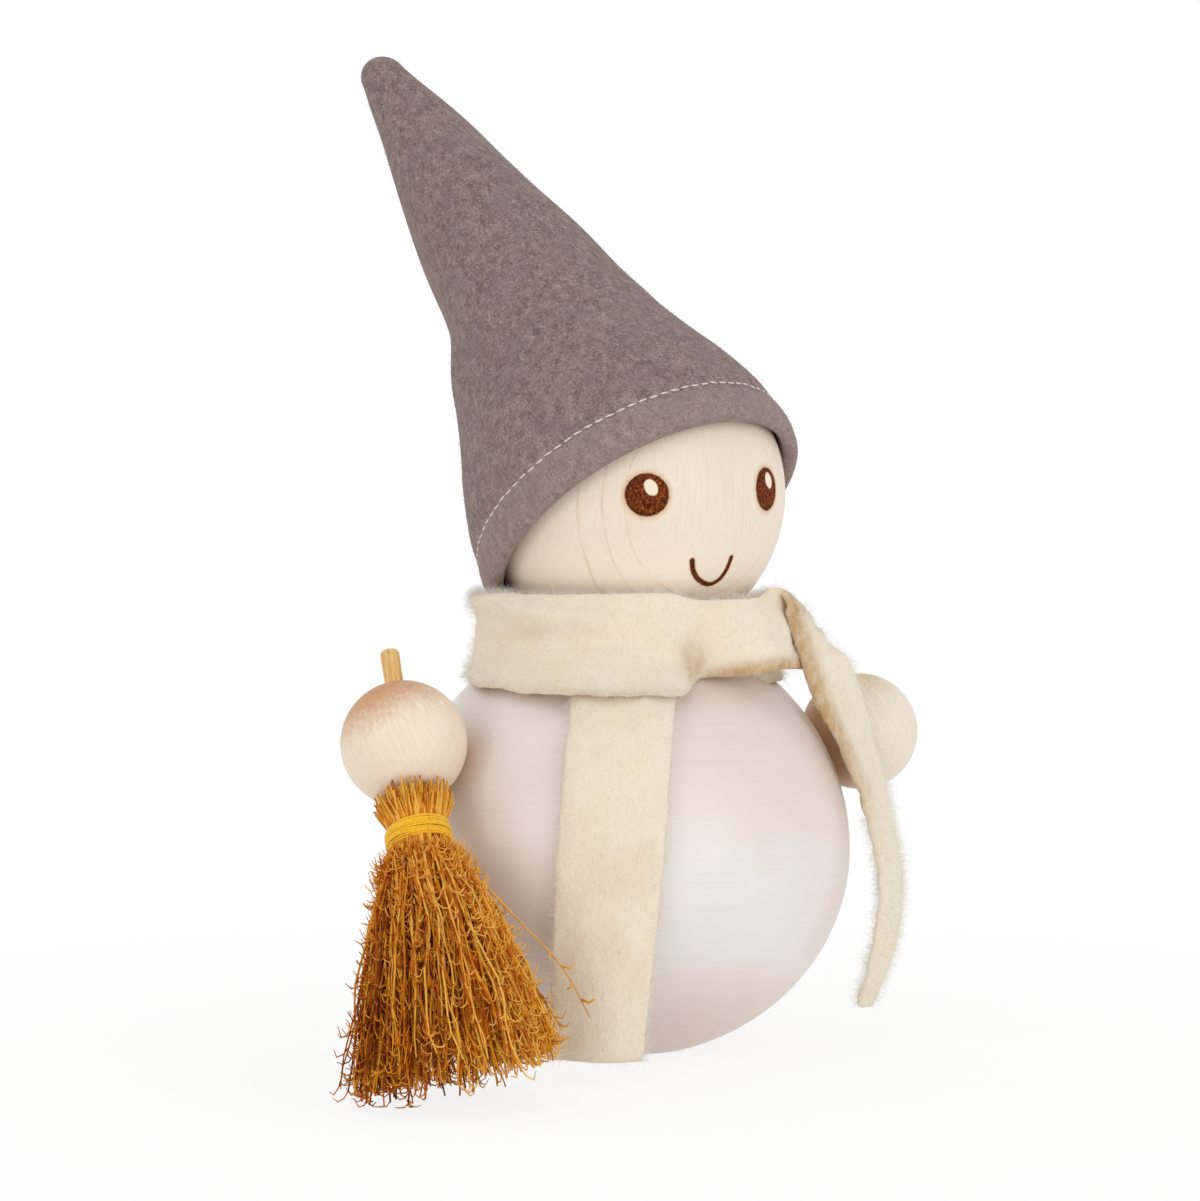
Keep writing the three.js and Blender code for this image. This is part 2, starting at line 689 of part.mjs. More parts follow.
function makeTie() {
  const line = new ThreadLine();
  const sides = 6;
  const corners = Array.from({ length: sides }, (_, k) => {
    const angle = (2 * Math.PI * k) / sides;
    return new THREE.Vector2(THREAD_RADIUS * Math.cos(angle), THREAD_RADIUS * Math.sin(angle));
  });
  const steps = 24 * THREAD_TURNS + 2;
  const geometry = new THREE.ExtrudeGeometry(new THREE.Shape(corners), { steps, extrudePath: line });
  console.log(`broom_tie least gap to itself ${leastGap(line, 4 * steps).toFixed(3)} mm`);
  return piece('broom_tie', solidOf(geometry), 0xf2be1a, 0.8);
}

function makeBroomArm() {
  const stick = stickDirection();
  const frame = frameAlong(stick, handCentre(-1));
  const skyward = UP.clone().applyQuaternion(frame.quaternion.clone().invert());
  frame.add(makeRightHand(stick), makeStick(), makeTie());
  for (const quarter of [0, 1, 2, 3]) {
    frame.add(makeBristles(quarter, skyward));
  }
  return frame;
}

const figure = new THREE.Group();
figure.add(
  makeBody(),
  makeNeckDowel(),
  makeHead(),
  makeHat(),
  makeScarf(),
  makeArmDowel('right_arm_dowel', -1),
  makeArmDowel('left_arm_dowel', 1),
  makeLeftHand(),
  makeBroomArm(),
);

export default figure;
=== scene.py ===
"""Looks of a turned wooden elf figure with a felt hat, a wool scarf and a small broom.

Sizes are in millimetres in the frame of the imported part, +Z up, and become metres when a mesh is placed.
"""

import bisect
import logging
import math
import random
from collections.abc import Callable, Iterable, Sequence
from dataclasses import dataclass, field
from enum import Enum

import bmesh
import bpy
from mathutils import Matrix, Vector, noise


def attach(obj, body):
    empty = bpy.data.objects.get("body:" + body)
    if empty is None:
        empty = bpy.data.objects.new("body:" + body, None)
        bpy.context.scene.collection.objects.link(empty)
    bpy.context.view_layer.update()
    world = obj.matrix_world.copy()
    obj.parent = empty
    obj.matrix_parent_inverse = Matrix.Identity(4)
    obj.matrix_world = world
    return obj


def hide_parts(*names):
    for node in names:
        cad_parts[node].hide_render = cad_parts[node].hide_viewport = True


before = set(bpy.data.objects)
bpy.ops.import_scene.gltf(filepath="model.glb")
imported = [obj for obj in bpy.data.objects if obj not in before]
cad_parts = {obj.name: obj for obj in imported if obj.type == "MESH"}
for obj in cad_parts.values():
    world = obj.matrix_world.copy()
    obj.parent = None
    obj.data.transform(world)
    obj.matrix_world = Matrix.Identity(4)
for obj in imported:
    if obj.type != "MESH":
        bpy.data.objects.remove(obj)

LOG = logging.getLogger("elf_figure")
MM = 0.001
UP = Vector((0.0, 0.0, 1.0))
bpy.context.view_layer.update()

BODY_CENTRE = Vector((0.0, 0.0, 41.0))
HEAD_CENTRE = Vector((0.0, -3.0, 114.751))
HAT_AXIS = Vector((-0.1484377, 0.5658107, 0.8110638))
STICK_AXIS = Vector((0.0921, 0.5260, 0.8455)).normalized()
RIGHTWARD = Vector((0.87462, -0.48481, 0.0))
TOWARD_CAMERA = Vector((-0.48481, -0.87462, 0.0))

MERGE_DISTANCE = 1e-4
HOLE_STEPS = 40
SHARP_ANGLE = math.radians(40)
PALE_LEAST = 0.3
FAR_AWAY = 9.0

Outline = list[tuple[float, float]]
Socket = bpy.types.NodeSocket
Value = Socket | float | Sequence[float]
Place = Callable[[float, float], Vector]


class Side(Enum):
    """The two sides of the figure, by the sign of X."""

    RIGHT = -1
    LEFT = 1

    def arm(self) -> Vector:
        """Direction of the arm dowel out of the body."""
        return Vector((0.9108699 * self.value, -0.1280144, 0.3923371))

    def hand(self) -> Vector:
        """Middle of the ball hand."""
        return Vector((54.1047 * self.value, -7.6039, 64.3044))


def linear(code: str) -> tuple[float, float, float, float]:
    """Turns a written colour into the linear one that shaders take.

    Args:
        code: Six hexadecimal digits.

    Returns:
        Linear red, green, blue and an alpha of 1.
    """
    parts = [int(code[i : i + 2], 16) / 255 for i in (0, 2, 4)]
    red, green, blue = [c / 12.92 if c <= 0.04045 else ((c + 0.055) / 1.055) ** 2.4 for c in parts]
    return red, green, blue, 1.0


def smooth(value: float, low: float, high: float) -> float:
    """Eases from 0 at low to 1 at high."""
    share = min(1.0, max(0.0, (value - low) / (high - low)))
    return share * share * (3 - 2 * share)


def hump(value: float, middle: float, width: float) -> float:
    """1 at a middle and falling towards 0 on both sides, over about a width."""
    return math.exp(-(((value - middle) / width) ** 2))


def any_way(rng: random.Random, spread: float) -> Vector:
    """A random vector, its numbers about 0 with a spread."""
    return Vector((rng.gauss(0, spread), rng.gauss(0, spread), rng.gauss(0, spread)))


def round_neck(radius: float, angle: float, height: float) -> Vector:
    """Point at a radius and height about Z, with its angle in radians from the front."""
    return Vector((radius * math.sin(angle), -radius * math.cos(angle), height))


def smooth_line(points: Sequence[Vector], share: float) -> tuple[Vector, Vector]:
    """Follows a smooth line through points.

    Args:
        points: The points that it passes.
        share: How far along it, from 0 to 1, with an equal share for each span.

    Returns:
        The point there and the direction of the line.
    """
    spans = len(points) - 1
    at = min(max(share, 0.0), 1.0) * spans
    i = min(int(at), spans - 1)
    s = at - i
    p1, p2 = points[i], points[i + 1]
    p0 = points[i - 1] if i > 0 else p1 * 2 - p2
    p3 = points[i + 2] if i + 2 <= spans else p2 * 2 - p1
    a = (p3 - p0 + (p1 - p2) * 3) / 2
    b = (p0 * 2 - p1 * 5 + p2 * 4 - p3) / 2
    c = (p2 - p0) / 2
    return ((a * s + b) * s + c) * s + p1, ((a * 3 * s + b * 2) * s + c).normalized()


class Course:
    """A smooth line through points, measured along its length from one of them."""

    def __init__(self, points: Sequence[Vector], zero: int) -> None:
        """Measures the line.

        Args:
            points: Points that it passes.
            zero: Number of the point where its length is 0.
        """
        fine = 40
        steps = fine * (len(points) - 1)
        self.spots = [smooth_line(points, i / steps) for i in range(steps + 1)]
        self.lengths = [0.0]
        for (one, _), (two, _) in zip(self.spots, self.spots[1:]):
            self.lengths.append(self.lengths[-1] + (two - one).length)
        start = self.lengths[zero * fine]
        self.lengths = [length - start for length in self.lengths]

    def at(self, length: float) -> tuple[Vector, Vector]:
        """Follows the line, and goes straight on past both ends.

        Args:
            length: How far along it.

        Returns:
            The point there and the direction of the line.
        """
        i = bisect.bisect_right(self.lengths, length) - 1
        i = min(max(i, 0), len(self.spots) - 1)
        spot, along = self.spots[i]
        return spot + along * (length - self.lengths[i]), along


def arc(radius: float, start: float, end: float, steps: int, rise: float = 0.0, out: float = 0.0) -> Outline:
    """Points of an arc in an outline.

    Args:
        radius: Radius of the arc.
        start: First angle in degrees, from straight out.
        end: Last angle in degrees.
        steps: Number of spans.
        rise: Height of its middle.
        out: Distance of its middle from the axis.

    Returns:
        Pairs of radius and height.
    """
    angles = [math.radians(start + (end - start) * i / steps) for i in range(steps + 1)]
    return [(out + radius * math.cos(a), rise + radius * math.sin(a)) for a in angles]


def aligned(origin: Vector, direction: Vector) -> Matrix:
    """Matrix that takes millimetres along +Z to metres along a direction from an origin."""
    turn = UP.rotation_difference(direction).to_matrix().to_4x4()
    return Matrix.Translation(origin * MM) @ turn @ Matrix.Scale(MM, 4)


def spun(outline: Outline, steps: int) -> bmesh.types.BMesh:
    """Spins an outline about Z into a closed form.

    Args:
        outline: Pairs of radius and height; a first pair equal to the last makes a ring.
        steps: Number of steps round the axis.

    Returns:
        The form, in millimetres, with its points and faces in the same order each time.
    """
    bm = bmesh.new()
    ring = outline[0] == outline[-1]
    row = bm.verts.layers.int.new("row")
    verts = [bm.verts.new((radius, 0.0, height)) for radius, height in (outline[:-1] if ring else outline)]
    for i, vert in enumerate(verts):
        vert[row] = i
    pairs = list(zip(verts, verts[1:]))
    if ring:
        pairs.append((verts[-1], verts[0]))
    edges = [bm.edges.new(pair) for pair in pairs]
    bmesh.ops.spin(
        bm,
        geom=verts + edges,
        cent=(0, 0, 0),
        axis=(0, 0, 1),
        dvec=(0, 0, 0),
        angle=math.tau,
        steps=steps,
        use_merge=True,
    )
    bmesh.ops.remove_doubles(bm, verts=bm.verts, dist=MERGE_DISTANCE)
    bmesh.ops.recalc_face_normals(bm, faces=bm.faces)

    def column(point: Vector) -> float:
        """Number of steps round the axis to a point."""
        return math.atan2(point.y, point.x) / math.tau * steps

    def vert_order(vert: bmesh.types.BMVert) -> int:
        """Number of a point, along the outline and then round the axis."""
        return vert[row] * steps + round(column(vert.co)) % steps

    def face_order(face: bmesh.types.BMFace) -> int:
        """Number of a face, along the outline and then round the axis."""
        rows = [vert[row] for vert in face.verts]
        band = min(rows) * len(verts) + max(rows)
        return band * steps + math.floor(column(face.calc_center_median())) % steps

    bm.verts.sort(key=vert_order)
    bm.faces.sort(key=face_order)
    bm.verts.layers.int.remove(row)
    return bm


def soften(bm: bmesh.types.BMesh, width: float, least: float = 25.0) -> None:
    """Rounds the sharp edges of a form.

    Args:
        bm: The form.
        width: Width of the rounding.
        least: Angle in degrees past which an edge is sharp.
    """
    limit = math.radians(least)
    sharp = [edge for edge in bm.edges if edge.is_manifold and edge.calc_face_angle(0) > limit]
    bmesh.ops.bevel(
        bm,
        geom=sharp,
        offset=width,
        offset_type="OFFSET",
        affect="EDGES",
        segments=3,
        profile=0.5,
        material=-1,
        clamp_overlap=True,
    )


def finished(name: str, bm: bmesh.types.BMesh, matrix: Matrix) -> bpy.types.Object:
    """Places a form and makes an object of it.

    Args:
        name: Name of the piece.
        bm: The form, freed here.
        matrix: Its place, to metres.

    Returns:
        The object, at the origin.
    """
    bm.transform(matrix)
    mesh = bpy.data.meshes.new(name)
    bm.to_mesh(mesh)
    bm.free()
    mesh.shade_smooth()
    return linked(name, mesh)


def linked(name: str, mesh: bpy.types.Mesh) -> bpy.types.Object:
    """Puts a mesh in the scene as an object at the origin.

    Args:
        name: Name of the piece.
        mesh: Its mesh.

    Returns:
        The object.
    """
    piece = bpy.data.objects.new(name, mesh)
    bpy.context.scene.collection.objects.link(piece)
    return piece


def bore(piece: bpy.types.Object, holes: Iterable[tuple[Matrix, float, float, float]]) -> None:
    """Cuts round holes out of a piece.

    Args:
        piece: The piece.
        holes: For each hole its frame, radius, and lowest and highest point in it.
    """
    cutters = []
    for matrix, radius, low, high in holes:
        outline = [(0, low), (radius, low), (radius, high), (0, high)]
        rod = finished("hole", spun(outline, HOLE_STEPS), matrix)
        cut = piece.modifiers.new("hole", "BOOLEAN")
        cut.object = rod
        cut.operation = "DIFFERENCE"
        cut.solver = "EXACT"
        cutters.append(rod)
    evaluated = piece.evaluated_get(bpy.context.evaluated_depsgraph_get())
    mesh = bpy.data.meshes.new_from_object(evaluated)
    piece.modifiers.clear()
    piece.data = mesh
    for rod in cutters:
        bpy.data.objects.remove(rod)
    mesh.shade_smooth()
    mesh.set_sharp_from_angle(angle=SHARP_ANGLE)


def tubes(
    name: str,
    runs: Sequence[Sequence[Vector]],
    radii: Sequence[Sequence[float]],
    pale_from: int | None = None,
) -> bpy.types.Mesh:
    """Makes one mesh of many thin four-sided tubes.

    Args:
        name: Name of the mesh.
        runs: The points of each tube in metres.
        radii: The radius at each point in millimetres.
        pale_from: Number of the first run whose tone is kept to the upper part of the range.

    Returns:
        The mesh, whose points have a tone attribute that is one random value for each tube.
    """
    curve = bpy.data.curves.new(name, "CURVE")
    curve.dimensions = "3D"
    curve.bevel_depth = MM
    curve.bevel_resolution = 0
    for run, widths in zip(runs, radii):
        spline = curve.splines.new("POLY")
        spline.points.add(len(run) - 1)
        spline.points.foreach_set("co", [c for point in run for c in (*point, 1.0)])
        spline.points.foreach_set("radius", list(widths))
    source = bpy.data.objects.new(name, curve)
    bpy.context.scene.collection.objects.link(source)
    evaluated = source.evaluated_get(bpy.context.evaluated_depsgraph_get())
    mesh = bpy.data.meshes.new_from_object(evaluated)
    bpy.data.objects.remove(source)
    bpy.data.curves.remove(curve)
    bm = bmesh.new()
    bm.from_mesh(mesh)
    bmesh.ops.holes_fill(bm, edges=[edge for edge in bm.edges if edge.is_boundary], sides=4)
    bmesh.ops.recalc_face_normals(bm, faces=bm.faces)
    bm.to_mesh(mesh)
    bm.free()
    mesh.shade_smooth()
    ring = len(mesh.vertices) // sum(len(run) for run in runs)
    rng = random.Random(name)
    tones = []
    for i, run in enumerate(runs):
        tone = rng.random()
        if pale_from is not None and i >= pale_from:
            tone = PALE_LEAST + (1 - PALE_LEAST) * tone
        tones.extend([tone] * (len(run) * ring))
    mesh.attributes.new("tone", "FLOAT", "POINT").data.foreach_set("value", tones)
    return mesh


class Graph:
    """The node tree of one material, with short ways to wire it."""

    def __init__(self, name: str) -> None:
        """Starts a material with a plain Principled shader.

        Args:
            name: Name of the material.
        """
        self.material = bpy.data.materials.new(name)
        self.material.use_nodes = True
        self.tree = self.material.node_tree
        self.tree.nodes.clear()
        self.shader = self.node("ShaderNodeBsdfPrincipled")
        self.output = self.node("ShaderNodeOutputMaterial")
        self.tree.links.new(self.shader.outputs[0], self.output.inputs["Surface"])

    def node(self, kind: str, **settings: object) -> bpy.types.Node:
        """Adds a node.

        Args:
            kind: Its type.
            **settings: Its properties.

        Returns:
            The node.
        """
        made = self.tree.nodes.new(kind)
        for key, value in settings.items():
            setattr(made, key, value)
        return made

    def plug(self, socket: Socket, value: Value) -> None:
        """Links an output to a socket, or sets the socket's own value.

        Args:
            socket: The socket.
            value: The output or the value.
        """
        if isinstance(value, bpy.types.NodeSocket):
            self.tree.links.new(value, socket)
        else:
            socket.default_value = value

    def fill(self, made: bpy.types.Node, values: Sequence[Value]) -> None:
        """Plugs values into the first sockets of a node."""
        for socket, value in zip(made.inputs, values):
            self.plug(socket, value)

    def set(self, **values: Value) -> None:
        """Sets inputs of the shader, whose names have _ for a space."""
        for key, value in values.items():
            self.plug(self.shader.inputs[key.replace("_", " ")], value)

    def sum(self, operation: str, *values: Value, clamp: bool = False) -> Socket:
        """Output of a Math node.

        Args:
            operation: Its operation.
            *values: Its inputs.
            clamp: Whether it is held between 0 and 1.

        Returns:
            The output socket.
        """
        made = self.node("ShaderNodeMath", operation=operation, use_clamp=clamp)
        self.fill(made, values)
        return made.outputs[0]

    def vector(self, operation: str, *values: Value) -> Socket:
        """Output of a Vector Math node.

        Args:
            operation: Its operation.
            *values: Its inputs.

        Returns:
            The output socket, the number where the operation gives one.
        """
        made = self.node("ShaderNodeVectorMath", operation=operation)
        self.fill(made, values)
        return made.outputs["Value" if operation in ("DOT_PRODUCT", "LENGTH", "DISTANCE") else "Vector"]

    def scaled(self, vector: Value, scale: Value) -> Socket:
        """A vector times a number."""
        made = self.node("ShaderNodeVectorMath", operation="SCALE")
        self.plug(made.inputs[0], vector)
        self.plug(made.inputs["Scale"], scale)
        return made.outputs[0]

    def height(self, vector: Value) -> Socket:
        """Third number of a vector."""
        made = self.node("ShaderNodeSeparateXYZ")
        self.plug(made.inputs[0], vector)
        return made.outputs["Z"]

    def attribute(self, name: str) -> Socket:
        """Number that the points of the mesh keep under a name."""
        return self.node("ShaderNodeAttribute", attribute_name=name).outputs["Fac"]

    def place(self, centre: Sequence[float] = (0, 0, 0), direction: Vector | None = None) -> Socket:
        """Object coordinates in millimetres.

        Args:
            centre: Where they start.
            direction: Where their +Z points, or upwards.

        Returns:
            The coordinates.
        """
        coordinates = self.node("ShaderNodeTexCoord").outputs["Object"]
        mapping = self.node("ShaderNodeMapping", vector_type="TEXTURE")
        self.plug(mapping.inputs["Vector"], coordinates)
        mapping.inputs["Location"].default_value = [c * MM for c in centre]
        if direction is not None:
            mapping.inputs["Rotation"].default_value = UP.rotation_difference(direction).to_euler()
        mapping.inputs["Scale"].default_value = (MM, MM, MM)
        return mapping.outputs[0]

    def stretch(self, vector: Value, scale: Sequence[float]) -> Socket:
        """A vector times a scale for each axis."""
        return self.vector("MULTIPLY", vector, scale)

    def noise(self, vector: Value, scale: float, detail: float = 3.0, rough: float = 0.55) -> Socket:
        """Value of a noise, about 0.5.

        Args:
            vector: Place in it.
            scale: Lumps in a unit of length.
            detail: How many finer noises are added.
            rough: Strength of each against the coarser one.

        Returns:
            The value.
        """
        made = self.node("ShaderNodeTexNoise")
        self.plug(made.inputs["Vector"], vector)
        made.inputs["Scale"].default_value = scale
        made.inputs["Detail"].default_value = detail
        made.inputs["Roughness"].default_value = rough
        return made.outputs[0]

    def step(self, value: Value, low: float, high: float, start: float = 0.0, end: float = 1.0) -> Socket:
        """Eases from start where a value is low to end where it is high.

        Args:
            value: The value.
            low: Value where it starts.
            high: Value where it ends, which may be the lower one.
            start: What it gives at first.
            end: What it gives at last.

        Returns:
            The eased value.
        """
        made = self.node("ShaderNodeMapRange", interpolation_type="SMOOTHSTEP")
        self.fill(made, (value, low, high, start, end))
        return made.outputs[0]

    def ramp(self, value: Value, *stops: tuple[float, str]) -> Socket:
        """Colour that runs through written colours.

        Args:
            value: Place in the run, from 0 to 1.
            *stops: The places and their colours.

        Returns:
            The colour.
        """
        made = self.node("ShaderNodeValToRGB")
        elements = made.color_ramp.elements
        while len(elements) < len(stops):
            elements.new(0.5)
        for element, (position, code) in zip(elements, stops):
            element.position = position
            element.color = linear(code)
        self.plug(made.inputs[0], value)
        return made.outputs[0]

    def mix(self, share: Value, first: Value, second: Value) -> Socket:
        """Mixes two colours.

        Args:
            share: How much of the second.
            first: The first colour.
            second: The second colour.

        Returns:
            The mix.
        """
        made = self.node("ShaderNodeMix", data_type="RGBA")
        self.plug(made.inputs[0], share)
        self.plug(made.inputs[6], first)
        self.plug(made.inputs[7], second)
        return made.outputs[2]

    def between(self, share: Value, first: str, second: str) -> Socket:
        """Mixes two written colours."""
        return self.mix(share, linear(first), linear(second))

    def tint(self, share: Value, colour: Value, code: str) -> Socket:
        """Lays a written colour over a colour."""
        return self.mix(share, colour, linear(code))

    def bump(self, height: Value, depth: float, strength: float = 1.0) -> None:
        """Gives the shader a bump.

        Args:
            height: Height between 0 and 1.
            depth: Depth in millimetres.
            strength: Share of the bump that shows.
        """
        made = self.node("ShaderNodeBump")
        made.inputs["Strength"].default_value = strength
        made.inputs["Distance"].default_value = depth * MM
        self.plug(made.inputs["Height"], height)
        self.plug(self.shader.inputs["Normal"], made.outputs[0])


@dataclass(frozen=True)
class WhitenedWood:
    """Turned birch, thinly whitened, with a satin surface and painted warm shade."""

    light: str = "EDE8E6"
    grain: str = "E6D9D1"
    line: str = "DCC6B4"
    # Colour of the painted warm shade, laid where the body would stand in shadow.
    warm_shade: str = "CDA27C"
    # Where the painted shade goes: under the scarf at the shoulder, in bands above and below a lighter middle
    # band, on the right flank and beside each hand.
    shoulder_shade: tuple[float, float, float] = (27.0, 40.0, 0.3)
    shade_bands: tuple[tuple[float, float, float], ...] = ((-2.0, 20.0, 0.22), (-14.0, -38.0, 0.38))
    shaded_flank: tuple[float, float, float] = (0.656, -0.755, 0.0)
    hands: tuple[tuple[Side, float, float], ...] = ((Side.RIGHT, 20.0, 0.45), (Side.LEFT, 28.0, 0.62))

    def make(self) -> bpy.types.Material:
        """Wires the finish."""
        graph = Graph("whitened_wood")
        place = graph.place(BODY_CENTRE)
        lathe = graph.noise(graph.stretch(place, (0.035, 0.035, 1.1)), 1.0, 4.0)
        fine = graph.noise(graph.stretch(place, (0.12, 0.12, 4.5)), 1.0, 2.0)
        cloud = graph.noise(place, 0.04, 2.0)
        wander = graph.noise(graph.stretch(place, (0.03, 0.015, 0.03)), 1.0, 1.0)
        flat = graph.vector("LENGTH", graph.stretch(graph.vector("ADD", place, (14, 0, -9)), (1, 0, 1.1)))
        ring = graph.sum("MULTIPLY_ADD", wander, 26.0, flat)
        wave = graph.sum("SINE", graph.sum("MULTIPLY", ring, 0.95))
        patchy = graph.step(graph.noise(place, 0.07, 2.0), 0.42, 0.66, 0.0, 0.06)
        line = graph.sum("MULTIPLY", graph.step(wave, 0.9, 1.0), patchy)
        colour = graph.between(graph.step(lathe, 0.36, 0.76, 0.0, 0.2), self.light, self.grain)
        colour = graph.tint(graph.step(cloud, 0.45, 0.75, 0.0, 0.4), colour, self.grain)
        colour = graph.tint(line, colour, self.line)
        # Painted warm shade, with a lighter band left between as a painted highlight.
        colour = graph.tint(self.painted_shade(graph, place), colour, self.warm_shade)
        graph.set(Base_Color=colour, Roughness=graph.step(lathe, 0.2, 0.8, 0.34, 0.39))
        graph.set(Subsurface_Weight=0.12, Subsurface_Radius=(1.0, 0.55, 0.35), Subsurface_Scale=0.003)
        graph.bump(graph.sum("MULTIPLY_ADD", fine, 0.6, lathe), 0.03, 0.2)
        return graph.material

    def painted_shade(self, graph: Graph, place: Socket) -> Socket:
        """Wires the share of painted warm shade on the body.

        Args:
            graph: The material.
            place: Place in millimetres from the middle of the body.

        Returns:
            The share: painted shade above and below a middle band that is left lighter as a painted
                highlight, more to the right, more at the shoulder under the scarf, on the right flank, and
                painted shadows beside the hands.
        """
        height = graph.height(place)
        low, high, share = self.shoulder_shade
        painted_shade = graph.step(height, low, high, 0.0, share)
        aside = graph.step(graph.vector("DOT_PRODUCT", place, RIGHTWARD), -25.0, 15.0, 0.4, 1.0)
        for low, high, share in self.shade_bands:
            painted_shade = graph.sum("MULTIPLY_ADD", graph.step(height, low, high, 0.0, share), aside, painted_shade)
        shaded_flank = graph.vector("DOT_PRODUCT", place, self.shaded_flank)
        painted_shade = graph.sum("ADD", graph.step(shaded_flank, 38.0, 46.0, 0.0, 0.1), painted_shade)
        # Painted shadows beside each hand.
        for side, reach, share in self.hands:
            away = graph.vector("DISTANCE", place, side.hand() - BODY_CENTRE)
            painted_shade = graph.sum("MAXIMUM", graph.step(away, 13.0, reach, share, 0.0), painted_shade)
        return painted_shade


@dataclass(frozen=True)
class Mark:
    """A round burnt mark on the head, in degrees from the front and up from the middle."""

    turn: float
    rise: float
    wide: float
    high: float
    lean: float = 0.0

    def axes(self) -> tuple[Vector, Vector, Vector]:
        """Its middle on a ball of radius 1, and the directions of its width and height there."""
        turn = math.radians(self.turn)
        rise = math.radians(self.rise)
        lean = math.radians(self.lean)
        middle = Vector((math.sin(turn) * math.cos(rise), -math.cos(turn) * math.cos(rise), math.sin(rise)))
        east = Vector((math.cos(turn), math.sin(turn), 0))
        north = Vector((-math.sin(turn) * math.sin(rise), math.cos(turn) * math.sin(rise), math.cos(rise)))
        across = east * math.cos(lean) + north * math.sin(lean)
        upward = north * math.cos(lean) - east * math.sin(lean)
        return middle, across, upward


